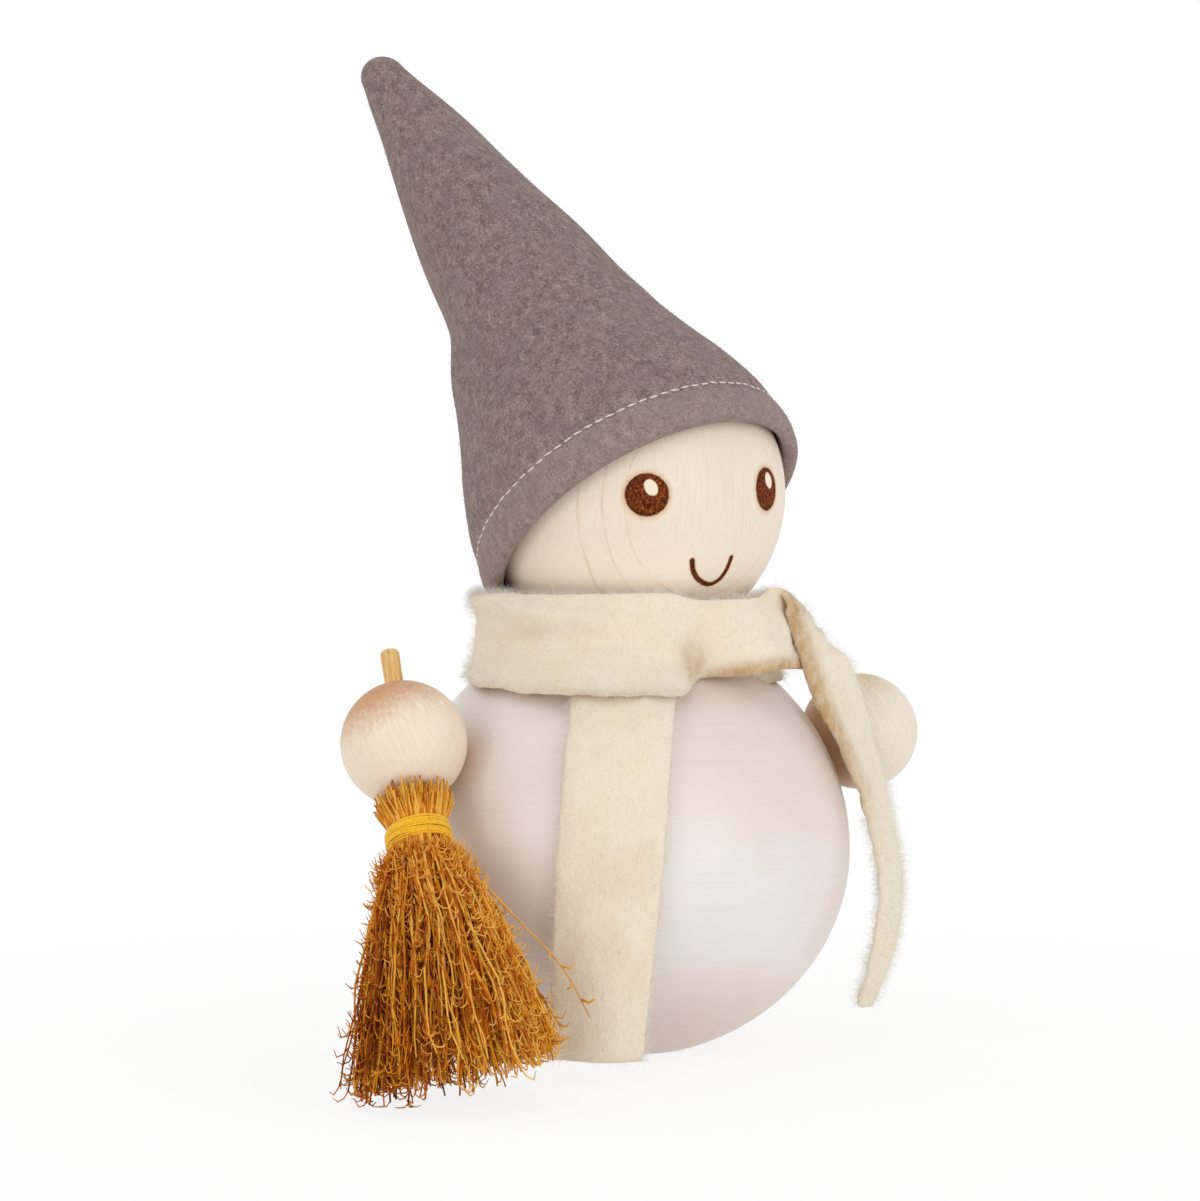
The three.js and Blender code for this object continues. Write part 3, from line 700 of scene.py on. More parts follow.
@dataclass(frozen=True)
class FaceWood:
    """Sanded birch with faint growth rings and a face burnt into it."""

    radius: float = 32.0
    light: str = "F0E5D6"
    grain: str = "E7D8C4"
    line: str = "CBA678"
    # Paler colour laid under the chin as painted light, where the scarf keeps light off the face.
    painted_chin_light: str = "FFF3E1"
    scorch: str = "D9A263"
    soot: str = "3A170C"
    char: str = "3A190D"
    glint: str = "F6EAD6"
    eyes: tuple[Mark, ...] = (Mark(-24.0, -2.7, 4.38, 4.25), Mark(29.5, 0.5, 4.19, 4.38))
    glints: tuple[Mark, ...] = (Mark(-22.6, -0.1, 1.3, 1.75, 28.0), Mark(30.9, 3.6, 1.3, 1.75, 28.0))
    rings: tuple[float, ...] = (20.4, 24.4, 28.4)
    smile: tuple[tuple[float, float], ...] = (
        (-4.6, -26.6),
        (-3.0, -30.6),
        (0.8, -34.3),
        (7.3, -36.5),
        (12.0, -34.7),
        (14.1, -30.5),
        (14.2, -25.2),
    )
    smile_spans: int = 14

    def reach(self, graph: Graph, point: Socket, mark: Mark) -> Socket:
        """Distance from the middle of a mark, 1 at its edge.

        Args:
            graph: The material.
            point: Place on the head in millimetres from its middle.
            mark: The mark.

        Returns:
            The distance.
        """
        middle, across, upward = mark.axes()
        away = graph.vector("SUBTRACT", point, middle * self.radius)
        wide = graph.vector("DOT_PRODUCT", away, across / mark.wide)
        high = graph.vector("DOT_PRODUCT", away, upward / mark.high)
        both = graph.node("ShaderNodeCombineXYZ")
        graph.plug(both.inputs[0], wide)
        graph.plug(both.inputs[1], high)
        return graph.vector("LENGTH", both.outputs[0])

    def nearest(self, graph: Graph, point: Socket, marks: Iterable[Mark]) -> Socket:
        """Distance from the nearest of some marks, as reach gives it."""
        least: Socket | float = FAR_AWAY
        for mark in marks:
            least = graph.sum("MINIMUM", self.reach(graph, point, mark), least)
        return least

    def from_smile(self, graph: Graph, point: Socket) -> Socket:
        """Wires the distance from the line of the smile.

        Args:
            graph: The material.
            point: Place on the head in millimetres from its middle.

        Returns:
            The distance in millimetres.
        """
        marks = [Mark(turn, rise, 1, 1).axes()[0] * self.radius for turn, rise in self.smile]
        ends = [smooth_line(marks, i / self.smile_spans)[0] for i in range(self.smile_spans + 1)]
        nearest: Socket | None = None
        for start, end in zip(ends, ends[1:]):
            along = end - start
            away = graph.vector("SUBTRACT", point, start)
            share = graph.vector("DOT_PRODUCT", away, along / along.length_squared)
            share = graph.sum("MULTIPLY", share, 1.0, clamp=True)
            distance = graph.vector("DISTANCE", away, graph.scaled(along, share))
            nearest = distance if nearest is None else graph.sum("MINIMUM", nearest, distance)
        return nearest

    def make(self) -> bpy.types.Material:
        """Wires the finish."""
        graph = Graph("face_wood")
        place = graph.place(HEAD_CENTRE)
        point = graph.scaled(graph.vector("NORMALIZE", place), self.radius)
        streak = graph.noise(graph.stretch(place, (2.6, 0.9, 0.09)), 1.0, 3.0)
        cloud = graph.noise(place, 0.06, 2.0)
        colour = graph.between(graph.step(streak, 0.4, 0.8, 0.0, 0.7), self.light, self.grain)
        colour = graph.tint(graph.step(cloud, 0.45, 0.75, 0.0, 0.45), colour, self.grain)
        # Painted light: the lower face is lightened towards the chin.
        colour = graph.tint(graph.step(graph.height(place), -24.0, -8.0, 0.9, 0.0), colour, self.painted_chin_light)
        about = graph.vector("ADD", place, (-1.5, 0, 2.5))
        flat = graph.vector("LENGTH", graph.stretch(about, (1.12, 0, 1.08)))
        wander = graph.noise(graph.stretch(place, (0.06, 0.02, 0.06)), 1.0, 1.0)
        ring = graph.sum("MULTIPLY_ADD", graph.sum("SUBTRACT", wander, 0.5), 1.6, flat)
        lines: Socket | float = 0.0
        for radius in self.rings:
            away = graph.sum("ABSOLUTE", graph.sum("SUBTRACT", ring, radius))
            lines = graph.sum("MAXIMUM", graph.step(away, 0.0, 0.28, 1.0, 0.0), lines)
        patchy = graph.step(graph.noise(place, 0.13, 2.0), 0.3, 0.65, 0.06, 0.36)
        colour = graph.tint(graph.sum("MULTIPLY", lines, patchy), colour, self.line)
        burn = graph.noise(place, 1.9, 4.0, 0.7)
        ragged = graph.sum("SUBTRACT", graph.noise(place, 1.1, 3.0, 0.6), 0.5)
        eye = graph.sum("MULTIPLY_ADD", ragged, 0.09, self.nearest(graph, point, self.eyes))
        glint = graph.sum("MULTIPLY_ADD", ragged, 0.25, self.nearest(graph, point, self.glints))
        smile = graph.sum("MULTIPLY_ADD", ragged, 0.22, self.from_smile(graph, point))
        dark = graph.ramp(burn, (0.3, "240B02"), (0.45, "4F1F08"), (0.59, "8A4213"), (0.74, "C57C34"))
        rim = graph.tint(graph.step(eye, 0.75, 0.95, 0.0, 0.4), dark, self.soot)
        scorch = graph.step(eye, 1.0, 1.3, 0.55, 0.0)
        scorch = graph.sum("MAXIMUM", graph.step(smile, 0.4, 1.15, 0.5, 0.0), scorch)
        colour = graph.tint(scorch, colour, self.scorch)
        round_eye = graph.sum("MULTIPLY", graph.step(eye, 0.96, 1.05, 1.0, 0.0), graph.step(glint, 0.86, 1.1))
        colour = graph.mix(round_eye, colour, rim)
        stroke = graph.step(smile, 0.42, 0.66, 1.0, 0.0)
        colour = graph.mix(stroke, colour, graph.tint(0.35, dark, self.char))
        colour = graph.tint(graph.step(glint, 0.8, 1.05, 1.0, 0.0), colour, self.glint)
        burnt = graph.sum("MAXIMUM", round_eye, stroke)
        graph.set(Base_Color=colour, Roughness=graph.step(burnt, 0.0, 1.0, 0.44, 0.9))
        graph.set(Specular_IOR_Level=0.2)
        height = graph.sum("MULTIPLY_ADD", streak, 0.12, graph.sum("MULTIPLY", burnt, -1.0))
        height = graph.sum("MULTIPLY_ADD", graph.sum("MULTIPLY", burn, burnt), 0.9, height)
        graph.bump(height, 0.16, 0.6)
        return graph.material


@dataclass(frozen=True)
class BeadWood:
    """Sanded bead wood, browner where the grain ends at the top, with painted brown shade on the side that
    faces the body.
    """

    centre: Vector
    light: str = "F5E6D3"
    grain: str = "ECD5BA"
    ends: str = "C37E2C"
    # Colour of the painted shade on the side of the bead that faces the body.
    shade_brown: str = "A8651E"
    body_shade_share: float = 0.0
    along: tuple[float, float, float] = (-0.35, 0.30, 0.89)

    def make(self, name: str) -> bpy.types.Material:
        """Wires the finish.

        Args:
            name: Name of the material.

        Returns:
            The material.
        """
        graph = Graph(name)
        place = graph.place(self.centre, Vector(self.along).normalized())
        streak = graph.noise(graph.stretch(place, (1.7, 1.7, 0.1)), 1.0, 3.0)
        pore = graph.noise(graph.stretch(place, (5.0, 5.0, 0.6)), 1.0, 2.0)
        top = graph.sum("MULTIPLY_ADD", graph.sum("SUBTRACT", streak, 0.5), 5.0, graph.height(place))
        colour = graph.between(graph.step(streak, 0.3, 0.76, 0.0, 0.55), self.light, self.grain)
        colour = graph.tint(graph.step(top, 2.5, 12.0, 0.0, 0.85), colour, self.ends)
        colour = graph.tint(graph.step(pore, 0.64, 0.8, 0.0, 0.22), colour, self.ends)
        # Painted shade: the side facing the body is tinted brown, where it stands in shadow.
        if self.body_shade_share:
            inner = graph.vector("DOT_PRODUCT", graph.place(self.centre), -Side.LEFT.arm())
            colour = graph.tint(graph.step(inner, 4.0, 9.0, 0.0, self.body_shade_share), colour, self.shade_brown)
        graph.set(Base_Color=colour, Roughness=graph.step(streak, 0.2, 0.8, 0.4, 0.5))
        graph.bump(graph.sum("MULTIPLY_ADD", pore, -0.4, streak), 0.04, 0.3)
        return graph.material


@dataclass(frozen=True)
class StickWood:
    """A peeled stick with streaks and small brown specks."""

    name: str
    centre: Vector
    along: Vector
    light: str = "F0CA8A"
    dark: str = "D9A862"
    speck: str = "6E3B14"

    def make(self) -> bpy.types.Material:
        """Wires the finish."""
        graph = Graph(self.name)
        place = graph.place(self.centre, self.along)
        streak = graph.noise(graph.stretch(place, (2.2, 2.2, 0.12)), 1.0, 4.0)
        speck = graph.noise(graph.stretch(place, (1.6, 1.6, 0.8)), 1.0, 2.0)
        colour = graph.between(graph.step(streak, 0.35, 0.65), self.light, self.dark)
        colour = graph.tint(graph.step(speck, 0.66, 0.74, 0.0, 0.75), colour, self.speck)
        graph.set(Base_Color=colour, Roughness=0.6)
        graph.bump(streak, 0.12, 0.7)
        return graph.material


@dataclass(frozen=True)
class HatFelt:
    """Pressed wool felt, mottled between purple grey and brown grey, with painted light on the hem."""

    base: str = "887672"
    warm: str = "95827A"
    cool: str = "86777A"
    deep: str = "5E5150"
    # A paler tone of the felt, also laid over the hem as painted light.
    pale_and_hem_light: str = "AE9F99"
    sheen: str = "B9ADA6"

    def make(self) -> bpy.types.Material:
        """Wires the finish."""
        graph = Graph("hat_felt")
        place = graph.place(HEAD_CENTRE, HAT_AXIS)
        cloud = graph.noise(place, 0.14, 3.0)
        speck = graph.noise(place, 2.3, 3.0, 0.7)
        upright = graph.noise(graph.stretch(place, (2.6, 2.6, 0.5)), 1.0, 3.0, 0.65)
        level = graph.noise(graph.stretch(place, (0.6, 0.6, 2.8)), 1.0, 3.0, 0.65)
        tangle = graph.sum("MULTIPLY_ADD", graph.sum("ADD", upright, level), 0.5, speck)
        tangle = graph.sum("MULTIPLY", tangle, 0.5)
        patch = graph.sum("SUBTRACT", graph.noise(graph.stretch(place, (1, 1, 0.6)), 0.6, 4.0, 0.65), 0.5)
        shade = graph.sum("MULTIPLY_ADD", patch, 0.34, tangle)
        colour = graph.ramp(shade, (0.36, self.deep), (0.5, self.base), (0.64, self.pale_and_hem_light))
        colour = graph.tint(graph.step(cloud, 0.36, 0.5, 0.35, 0.0), colour, self.cool)
        colour = graph.tint(graph.step(cloud, 0.52, 0.68, 0.0, 0.35), colour, self.warm)
        # Painted light: the downward-facing hem is lightened.
        colour = graph.tint(graph.step(graph.height(place), -1.5, 0.5, 0.26, 0.0), colour, self.pale_and_hem_light)
        graph.set(Base_Color=colour, Roughness=0.95, Sheen_Weight=0.25, Sheen_Roughness=0.5)
        graph.set(Specular_IOR_Level=0.2, Sheen_Tint=linear(self.sheen))
        graph.bump(tangle, 0.5, 0.75)
        return graph.material


@dataclass(frozen=True)
class ScarfWool:
    """Loose felted wool, cream, with painted ochre shade in its dips and creases."""

    name: str = "scarf_wool"
    light: str = "F5ECD9"
    warm: str = "EFE2C7"
    deep: str = "E2CFAA"
    # Colour of the painted shade in dips, creases and under edges.
    shade_ochre: str = "B4843F"
    fibre: str = "FCF5E6"
    sheen: str = "FFF8EA"

    def make(self) -> bpy.types.Material:
        """Wires the finish."""
        graph = Graph(self.name)
        place = graph.place()
        cloud = graph.noise(place, 0.1, 2.0)
        tuft = graph.noise(graph.stretch(place, (1.0, 1.0, 0.5)), 0.7, 4.0, 0.6)
        fibre = graph.noise(graph.stretch(place, (1.0, 1.0, 0.3)), 3.6, 4.0, 0.7)
        colour = graph.between(graph.step(cloud, 0.4, 0.7, 0.0, 0.6), self.light, self.warm)
        streak = graph.noise(graph.stretch(place, (1.2, 1.2, 0.4)), 1.7, 4.0, 0.7)
        colour = graph.tint(graph.step(tuft, 0.55, 0.85, 0.0, 0.35), colour, self.deep)
        colour = graph.tint(graph.step(streak, 0.48, 0.72, 0.0, 0.5), colour, self.deep)
        colour = graph.tint(graph.step(fibre, 0.5, 0.78, 0.0, 0.5), colour, self.fibre)
        # Painted ochre shade, from a share that the strip keeps at each point.
        ochre_shade = graph.sum("MULTIPLY", graph.attribute("ochre_shade"), graph.step(tuft, 0.3, 0.7, 0.6, 1.0))
        colour = graph.tint(ochre_shade, colour, self.shade_ochre)
        graph.set(Base_Color=colour, Roughness=1.0, Sheen_Weight=0.35, Sheen_Roughness=0.6)
        graph.set(Specular_IOR_Level=0.15, Sheen_Tint=linear(self.sheen))
        graph.set(Subsurface_Weight=0.25, Subsurface_Radius=(1.0, 0.8, 0.55), Subsurface_Scale=0.0015)
        height = graph.sum("MULTIPLY_ADD", streak, 0.8, graph.sum("MULTIPLY_ADD", fibre, 0.5, tuft))
        graph.bump(height, 0.5, 0.6)
        return graph.material


@dataclass(frozen=True)
class BroomFibre:
    """Dry plant fibre, each strand with a tone of its own, darker towards the tips, with painted light at the
    top by the hand and on the right beside the body.
    """

    def make(self) -> bpy.types.Material:
        """Wires the finish."""
        graph = Graph("broom_fibre")
        place = graph.place(Side.RIGHT.hand(), STICK_AXIS)
        height = graph.height(place)
        patch = graph.sum("SUBTRACT", graph.noise(place, 0.5, 3.0), 0.5)
        tone = graph.sum("MULTIPLY_ADD", patch, 0.7, graph.attribute("tone"))
        tone = graph.sum("ADD", tone, graph.step(height, -74.0, -14.0, -0.26, 0.04))
        # Painted light: strands at the top, in the shade of the hand, are lightened.
        tone = graph.sum("ADD", tone, graph.step(height, -23.0, -17.0, 0.0, 0.24))
        # Painted light: the right side, in the shade of the body, is lightened.
        right = graph.vector("DOT_PRODUCT", graph.place(Side.RIGHT.hand()), RIGHTWARD)
        tone = graph.sum("ADD", tone, graph.step(right, -2.0, 24.0, 0.0, 0.46))
        colour = graph.ramp(tone, (0.0, "702A00"), (0.3, "B85C05"), (0.6, "E0921C"), (1.0, "F8C058"))
        graph.set(Base_Color=colour, Roughness=0.75, Specular_IOR_Level=0.2)
        graph.bump(graph.noise(place, 3.0, 3.0), 0.06, 0.6)
        return graph.material


@dataclass(frozen=True)
class Thread:
    """Spun thread of one colour with darker hollows between its fibres."""

    name: str
    light: str
    dark: str

    def make(self) -> bpy.types.Material:
        """Wires the finish."""
        graph = Graph(self.name)
        fibre = graph.noise(graph.place(), 2.6, 4.0, 0.65)
        colour = graph.between(graph.step(fibre, 0.35, 0.7), self.light, self.dark)
        graph.set(Base_Color=colour, Roughness=0.7, Sheen_Weight=0.2)
        graph.bump(fibre, 0.08, 0.6)
        return graph.material


def dress(
    piece: bpy.types.Object,
    material: bpy.types.Material,
    body: str,
    slot: str,
    *nodes: str,
) -> bpy.types.Object:
    """Gives a piece its material, its body and the nodes it stands for.

    Args:
        piece: The piece.
        material: Its finish.
        body: The body it moves with.
        slot: Name of a material slot; not used.
        *nodes: The solids that it replaces.

    Returns:
        The piece.
    """
    piece.data.materials.clear()
    piece.data.materials.append(material)
    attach(piece, body)
    if nodes:
        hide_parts(*nodes)
    LOG.info("%s: %d faces on %s", piece.name, len(piece.data.polygons), body)
    return piece


@dataclass
class Body:
    """The turned ball that the figure stands on."""

    radius: float = 47.0
    base_radius: float = 14.5
    top_radius: float = 19.0
    neck_hole: float = 4.3
    neck_hole_depth: float = 13.3
    arm_hole: float = 2.8
    arm_hole_depth: float = 11.3
    hole_clear: float = 9.0
    edge: float = 0.7
    arc_steps: int = 30
    steps: int = 112

    def build(self) -> bpy.types.Object:
        """Makes the ball with its flat base, flat neck and holes."""
        equator = BODY_CENTRE.z
        base = math.degrees(math.acos(self.base_radius / self.radius))
        top = math.degrees(math.acos(self.top_radius / self.radius))
        depth = equator / math.sqrt(1 - (self.base_radius / self.radius) ** 2)
        squeeze = depth / self.radius
        lower = [(r, equator + z * squeeze) for r, z in arc(self.radius, -base, 0, self.arc_steps)]
        upper = arc(self.radius, 0, top, self.arc_steps, rise=equator)[1:]
        neck = upper[-1][1]
        floor = neck - self.neck_hole_depth
        hole = [(self.neck_hole, neck), (self.neck_hole, floor), (0, floor)]
        bm = spun([(0, 0), *lower, *upper, *hole], self.steps)
        soften(bm, self.edge)
        piece = finished("body_ball", bm, Matrix.Scale(MM, 4))
        low = self.radius - self.arm_hole_depth
        high = self.radius + self.hole_clear
        bore(piece, [(aligned(BODY_CENTRE, side.arm()), self.arm_hole, low, high) for side in Side])
        return dress(piece, WhitenedWood().make(), "body", "body_wood", "body")

    def dress_dowels(self) -> None:
        """Gives the hidden dowels their wood."""
        for node, direction in (
            ("neck_dowel", UP),
            ("right_arm_dowel", Side.RIGHT.arm()),
            ("left_arm_dowel", Side.LEFT.arm()),
        ):
            wood = StickWood(f"{node}_wood", BODY_CENTRE, direction, "E3D0AE", "CDB188", "B08A58")
            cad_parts[node].material_slots[0].material = wood.make()
            LOG.info("%s keeps its solid", node)


@dataclass
class Head:
    """The ball head with its burnt face."""

    radius: float = 32.0
    seat_radius: float = 9.8
    hole: float = 4.3
    hole_depth: float = 13.3
    hole_clear: float = 5.0
    edge: float = 0.4
    arc_steps: int = 72
    steps: int = 128

    def build(self) -> bpy.types.Object:
        """Makes the ball with its flat seat and dowel hole."""
        seat = -math.degrees(math.acos(self.seat_radius / self.radius))
        level = self.radius * math.sin(math.radians(seat))
        ball = arc(self.radius, seat, 90, self.arc_steps)[:-1]
        bm = spun([(0, level), *ball, (0, self.radius)], self.steps)
        soften(bm, self.edge)
        piece = finished("head_ball", bm, Matrix.Translation(HEAD_CENTRE * MM) @ Matrix.Scale(MM, 4))
        seat_height = HEAD_CENTRE.z + level
        foot = Matrix.Translation((0, 0, seat_height * MM)) @ Matrix.Scale(MM, 4)
        bore(piece, [(foot, self.hole, -self.hole_clear, self.hole_depth)])
        return dress(piece, FaceWood().make(), "head", "head_wood", "head")


@dataclass
class Hands:
    """The two ball hands; the right one is bored for the broom."""

    radius: float = 12.5
    arm_hole: float = 2.8
    arm_hole_end: float = -4.7
    stick_bore: float = 2.2
    edge: float = 0.35
    arc_steps: int = 44
    steps: int = 72

    def build_left(self) -> bpy.types.Object:
        """Makes the left hand, with a blind hole for its dowel."""
        start = -math.degrees(math.acos(self.arm_hole / self.radius))
        ball = arc(self.radius, start, 90, self.arc_steps)[:-1]
        hole = [(0, self.arm_hole_end), (self.arm_hole, self.arm_hole_end)]
        bm = spun([*hole, *ball, (0, self.radius)], self.steps)
        soften(bm, self.edge)
        piece = finished("left_hand_bead", bm, aligned(Side.LEFT.hand(), Side.LEFT.arm()))
        # The left bead gets painted brown shade on its side towards the body.
        wood = BeadWood(Side.LEFT.hand(), "EFE6D6", "E3D5BE", "D2B48A", body_shade_share=0.7)
        return dress(piece, wood.make("left_bead_wood"), "left_hand", "hand_wood", "left_hand")

    def build_right(self) -> bpy.types.Object:
        """Makes the right hand, with its bore and a blind hole for its dowel."""
        rim = math.degrees(math.acos(self.stick_bore / self.radius))
        ball = arc(self.radius, -rim, rim, self.arc_steps)
        bm = spun([*ball, ball[0]], self.steps)
        soften(bm, self.edge)
        piece = finished("right_hand_bead", bm, aligned(Side.RIGHT.hand(), STICK_AXIS))
        arm = aligned(Side.RIGHT.hand(), Side.RIGHT.arm())
        bore(piece, [(arm, self.arm_hole, -2 * self.radius, self.arm_hole_end)])
        wood = BeadWood(Side.RIGHT.hand())
        return dress(piece, wood.make("right_bead_wood"), "right_hand", "hand_wood", "right_hand")


@dataclass
class Fuzz:
    """Fine loose fibres on a piece of cloth: how many, how long, how upright and how thick."""

    count: int
    shortest: float
    longest: float
    lift: float
    radius: float
    spread: float = 0.6
    sway: float = 0.6
    hook: float = 0.9
    droop: float = 0.3
    knee: float = 0.45
    tip: float = 0.55
    root_depth: float = 0.25

    def build(
        self,
        name: str,
        faces: Sequence[bpy.types.MeshPolygon],
        weights: Sequence[float],
        seed: int,
    ) -> bpy.types.Object:
        """Makes the fibres of one coat.

        Args:
            name: Name of the piece.
            faces: The faces that they stand on, of three or four corners.
            weights: How many of the fibres each face gets, against the others.
            seed: Seed of their chances.

        Returns:
            The piece.
        """
        rng = random.Random(seed)
        cloth = faces[0].id_data
        runs = []
        radii = []
        for face in rng.choices(faces, weights=weights, k=self.count):
            corners = [cloth.vertices[i].co for i in face.vertices[:3]]
            a, b = sorted((rng.random(), rng.random()))
            root = corners[0] * a + corners[1] * (b - a) + corners[2] * (1 - b)
            start = face.normal * self.lift + any_way(rng, self.spread) * self.sway
            start.normalize()
            bent = start + any_way(rng, self.spread) * self.hook - face.normal * self.droop
            bent.normalize()
            length = rng.uniform(self.shortest, self.longest) * MM
            knee = root + start * length * self.knee
            runs.append([root - face.normal * self.root_depth * MM, knee, knee + bent * length * self.tip])
            radii.append([self.radius, self.radius * 0.9, self.radius * 0.4])
        piece = linked(name, tubes(name, runs, radii))
        piece.visible_shadow = False
        piece.visible_diffuse = False
        return piece


@dataclass
class Hat:
    """The felt cone with its folded, stitched hem."""

    felt: float = 1.65
    inner: float = 32.4
    brim: float = -8.5
    hem_top: float = 0.0
    waist: float = 34.0
    waist_radius: float = 24.3
    cone: float = 118.5
    tip: float = 5.0
    tip_shift: float = 9.0
    bulge: float = 0.6
    hem_tilt: float = 2.6
    hem_tilt_turn: float = -23.0
    soft_from: float = 36.0
    soft_full: float = 50.0
    stiff_tip: float = 14.0
    dent: float = 0.75
    dent_length: float = 21.0
    pinch: float = 2.5
    pinch_turn: float = 157.0
    pinch_height: float = 53.0
    pinch_reach: float = 13.0
    seam_pull: float = 0.32
    stitch_pitch: float = 2.4
    stitch_length: float = 2.05
    stitch_radius: float = 0.19
    stitch_sink: float = 0.42
    ease_rounds: int = 60
    ease_from: float = 18.0
    ease_to: float = 60.0
    steps: int = 160

    def bend(self, point: Vector) -> Vector:
        """Takes a point of the straight hat to its place in the leaning one.

        Args:
            point: A point about the hat's axis.

        Returns:
            The point with the tilt of the hem, the lean of the tip and the dents of the soft felt.
        """
        length = self.cone + self.tip
        share = max(0.0, point.z) / length
        turn = math.radians(self.hem_tilt_turn)
        near = min(1.0, max(0.0, (self.waist - point.z) / (self.waist - self.hem_top)))
        lift = math.tan(math.radians(self.hem_tilt)) * (point.x * math.cos(turn) + point.y * math.sin(turn))
        free = smooth(point.z, self.soft_from, self.soft_full)
        free *= smooth(point.z, length, length - self.stiff_tip)
        swell = 1.0
        if free > 0:
            radius = max(1.0, math.hypot(point.x, point.y))
            spot = Vector((point.x / radius * 1.1, point.y / radius * 1.1, point.z / self.dent_length))
            swell += free * self.dent * noise.noise(spot) / radius
            facing = math.cos(math.atan2(point.y, point.x) - math.radians(self.pinch_turn))
            dip = hump(point.z, self.pinch_height, self.pinch_reach) * max(0.0, facing) ** 4
            swell -= free * self.pinch * dip / radius
        x = point.x * swell - self.tip_shift * share**2
        return Vector((x, point.y * swell, point.z + near * lift))

    def skin(self, inset: float) -> Outline:
        """Outline above the hem to the tip.

        Args:
            inset: Thickness that is taken off its outside.

        Returns:
            Pairs of radius and height, eased where the two curves of the side meet.
        """
        outer = self.inner + 2 * self.felt
        control = (outer - self.felt, (2 * self.hem_top + self.waist) / 3)
        middle = ((self.waist_radius + self.tip) / 2 + self.bulge, (self.waist + self.cone) / 2)
        spans = (
            ((outer, self.hem_top), control, (self.waist_radius, self.waist), 22),
            ((self.waist_radius, self.waist), middle, (self.tip, self.cone), 34),
        )
        points = []
        for first, pull, last, steps in spans:
            for i in range(steps):
                s = i / steps
                weights = ((1 - s) ** 2, 2 * s * (1 - s), s * s)
                radius = sum(w * p[0] for w, p in zip(weights, (first, pull, last)))
                height = sum(w * p[1] for w, p in zip(weights, (first, pull, last)))
                points.append((radius - inset, height))
        for _ in range(self.ease_rounds):
            eased = list(points)
            for i, (radius, height) in enumerate(points[1:-1], 1):
                if self.ease_from < height < self.ease_to:
                    eased[i] = ((points[i - 1][0] + 2 * radius + points[i + 1][0]) / 4, height)
            points = eased
        dome = arc(self.tip - inset, 0, 90, 10, rise=self.cone)[:-1]
        return [*points, *dome, (0, self.cone + self.tip - inset)]

    def build(self) -> bpy.types.Object:
        """Makes the felt as one closed skin with a rounded fold and a pulled-in line of stitches."""
        outer = self.inner + 2 * self.felt
        roll = arc(self.felt, 180, 360, 12, rise=self.brim + self.felt, out=self.inner + self.felt)
        hem = [
            (outer + 0.25, self.brim + 3.2),
            (outer + 0.3, self.brim + 4.8),
            (outer + 0.1, self.brim + 6.6),
            (outer - 0.25, self.hem_top - 0.7),
            (outer - 0.5, self.hem_top - 0.15),
            (outer - 0.5, self.hem_top + 0.25),
        ]
        above = [(r - self.seam_pull * smooth(z, 6.0, 0.8), z) for r, z in self.skin(0)[1:]]
        inside = list(reversed(self.skin(self.felt)[1:]))
        bm = spun([*inside, (self.inner, self.hem_top), *roll, *hem, *above], self.steps)
        for vert in bm.verts:
            vert.co = self.bend(vert.co)
        piece = finished("hat_felt", bm, aligned(HEAD_CENTRE, HAT_AXIS))
        felt = HatFelt().make()
        stitches = self.build_stitches()
        faces = list(piece.data.polygons)
        fibres = Fuzz(count=9000, shortest=0.35, longest=1.0, lift=0.35, radius=0.02)
        nap = fibres.build("hat_nap", faces, [face.area for face in faces], seed=5)
        dress(nap, felt, "hat", "felt")
        dress(piece, felt, "hat", "felt", "hat")
        return piece

    def build_stitches(self) -> bpy.types.Object:
        """Makes the ring of stitches that holds the hem."""
        bm = bmesh.new()
        radius = self.inner + 2 * self.felt - self.stitch_sink
        count = round(math.tau * radius / self.stitch_pitch)
        rng = random.Random(7)
        for i in range(count):
            turn = math.tau * i / count
            height = self.hem_top + 0.05 + rng.uniform(-0.12, 0.12)
            middle = self.bend(Vector((radius * math.cos(turn), radius * math.sin(turn), height)))
            tilt = Matrix.Rotation(turn + math.pi / 2, 4, "Z")
            tilt @= Matrix.Rotation(rng.uniform(-0.05, 0.16), 4, "Y")
            half = self.stitch_length / 2
            size = Matrix.Diagonal((half, self.stitch_radius, self.stitch_radius * 1.1, 1))
            matrix = Matrix.Translation(middle) @ tilt @ size
            bmesh.ops.create_uvsphere(bm, u_segments=8, v_segments=6, radius=1.0, matrix=matrix)
        piece = finished("hat_stitches", bm, aligned(HEAD_CENTRE, HAT_AXIS))
        return dress(piece, Thread("stitch_thread", "EAE3DA", "C9BFB4").make(), "hat", "felt")


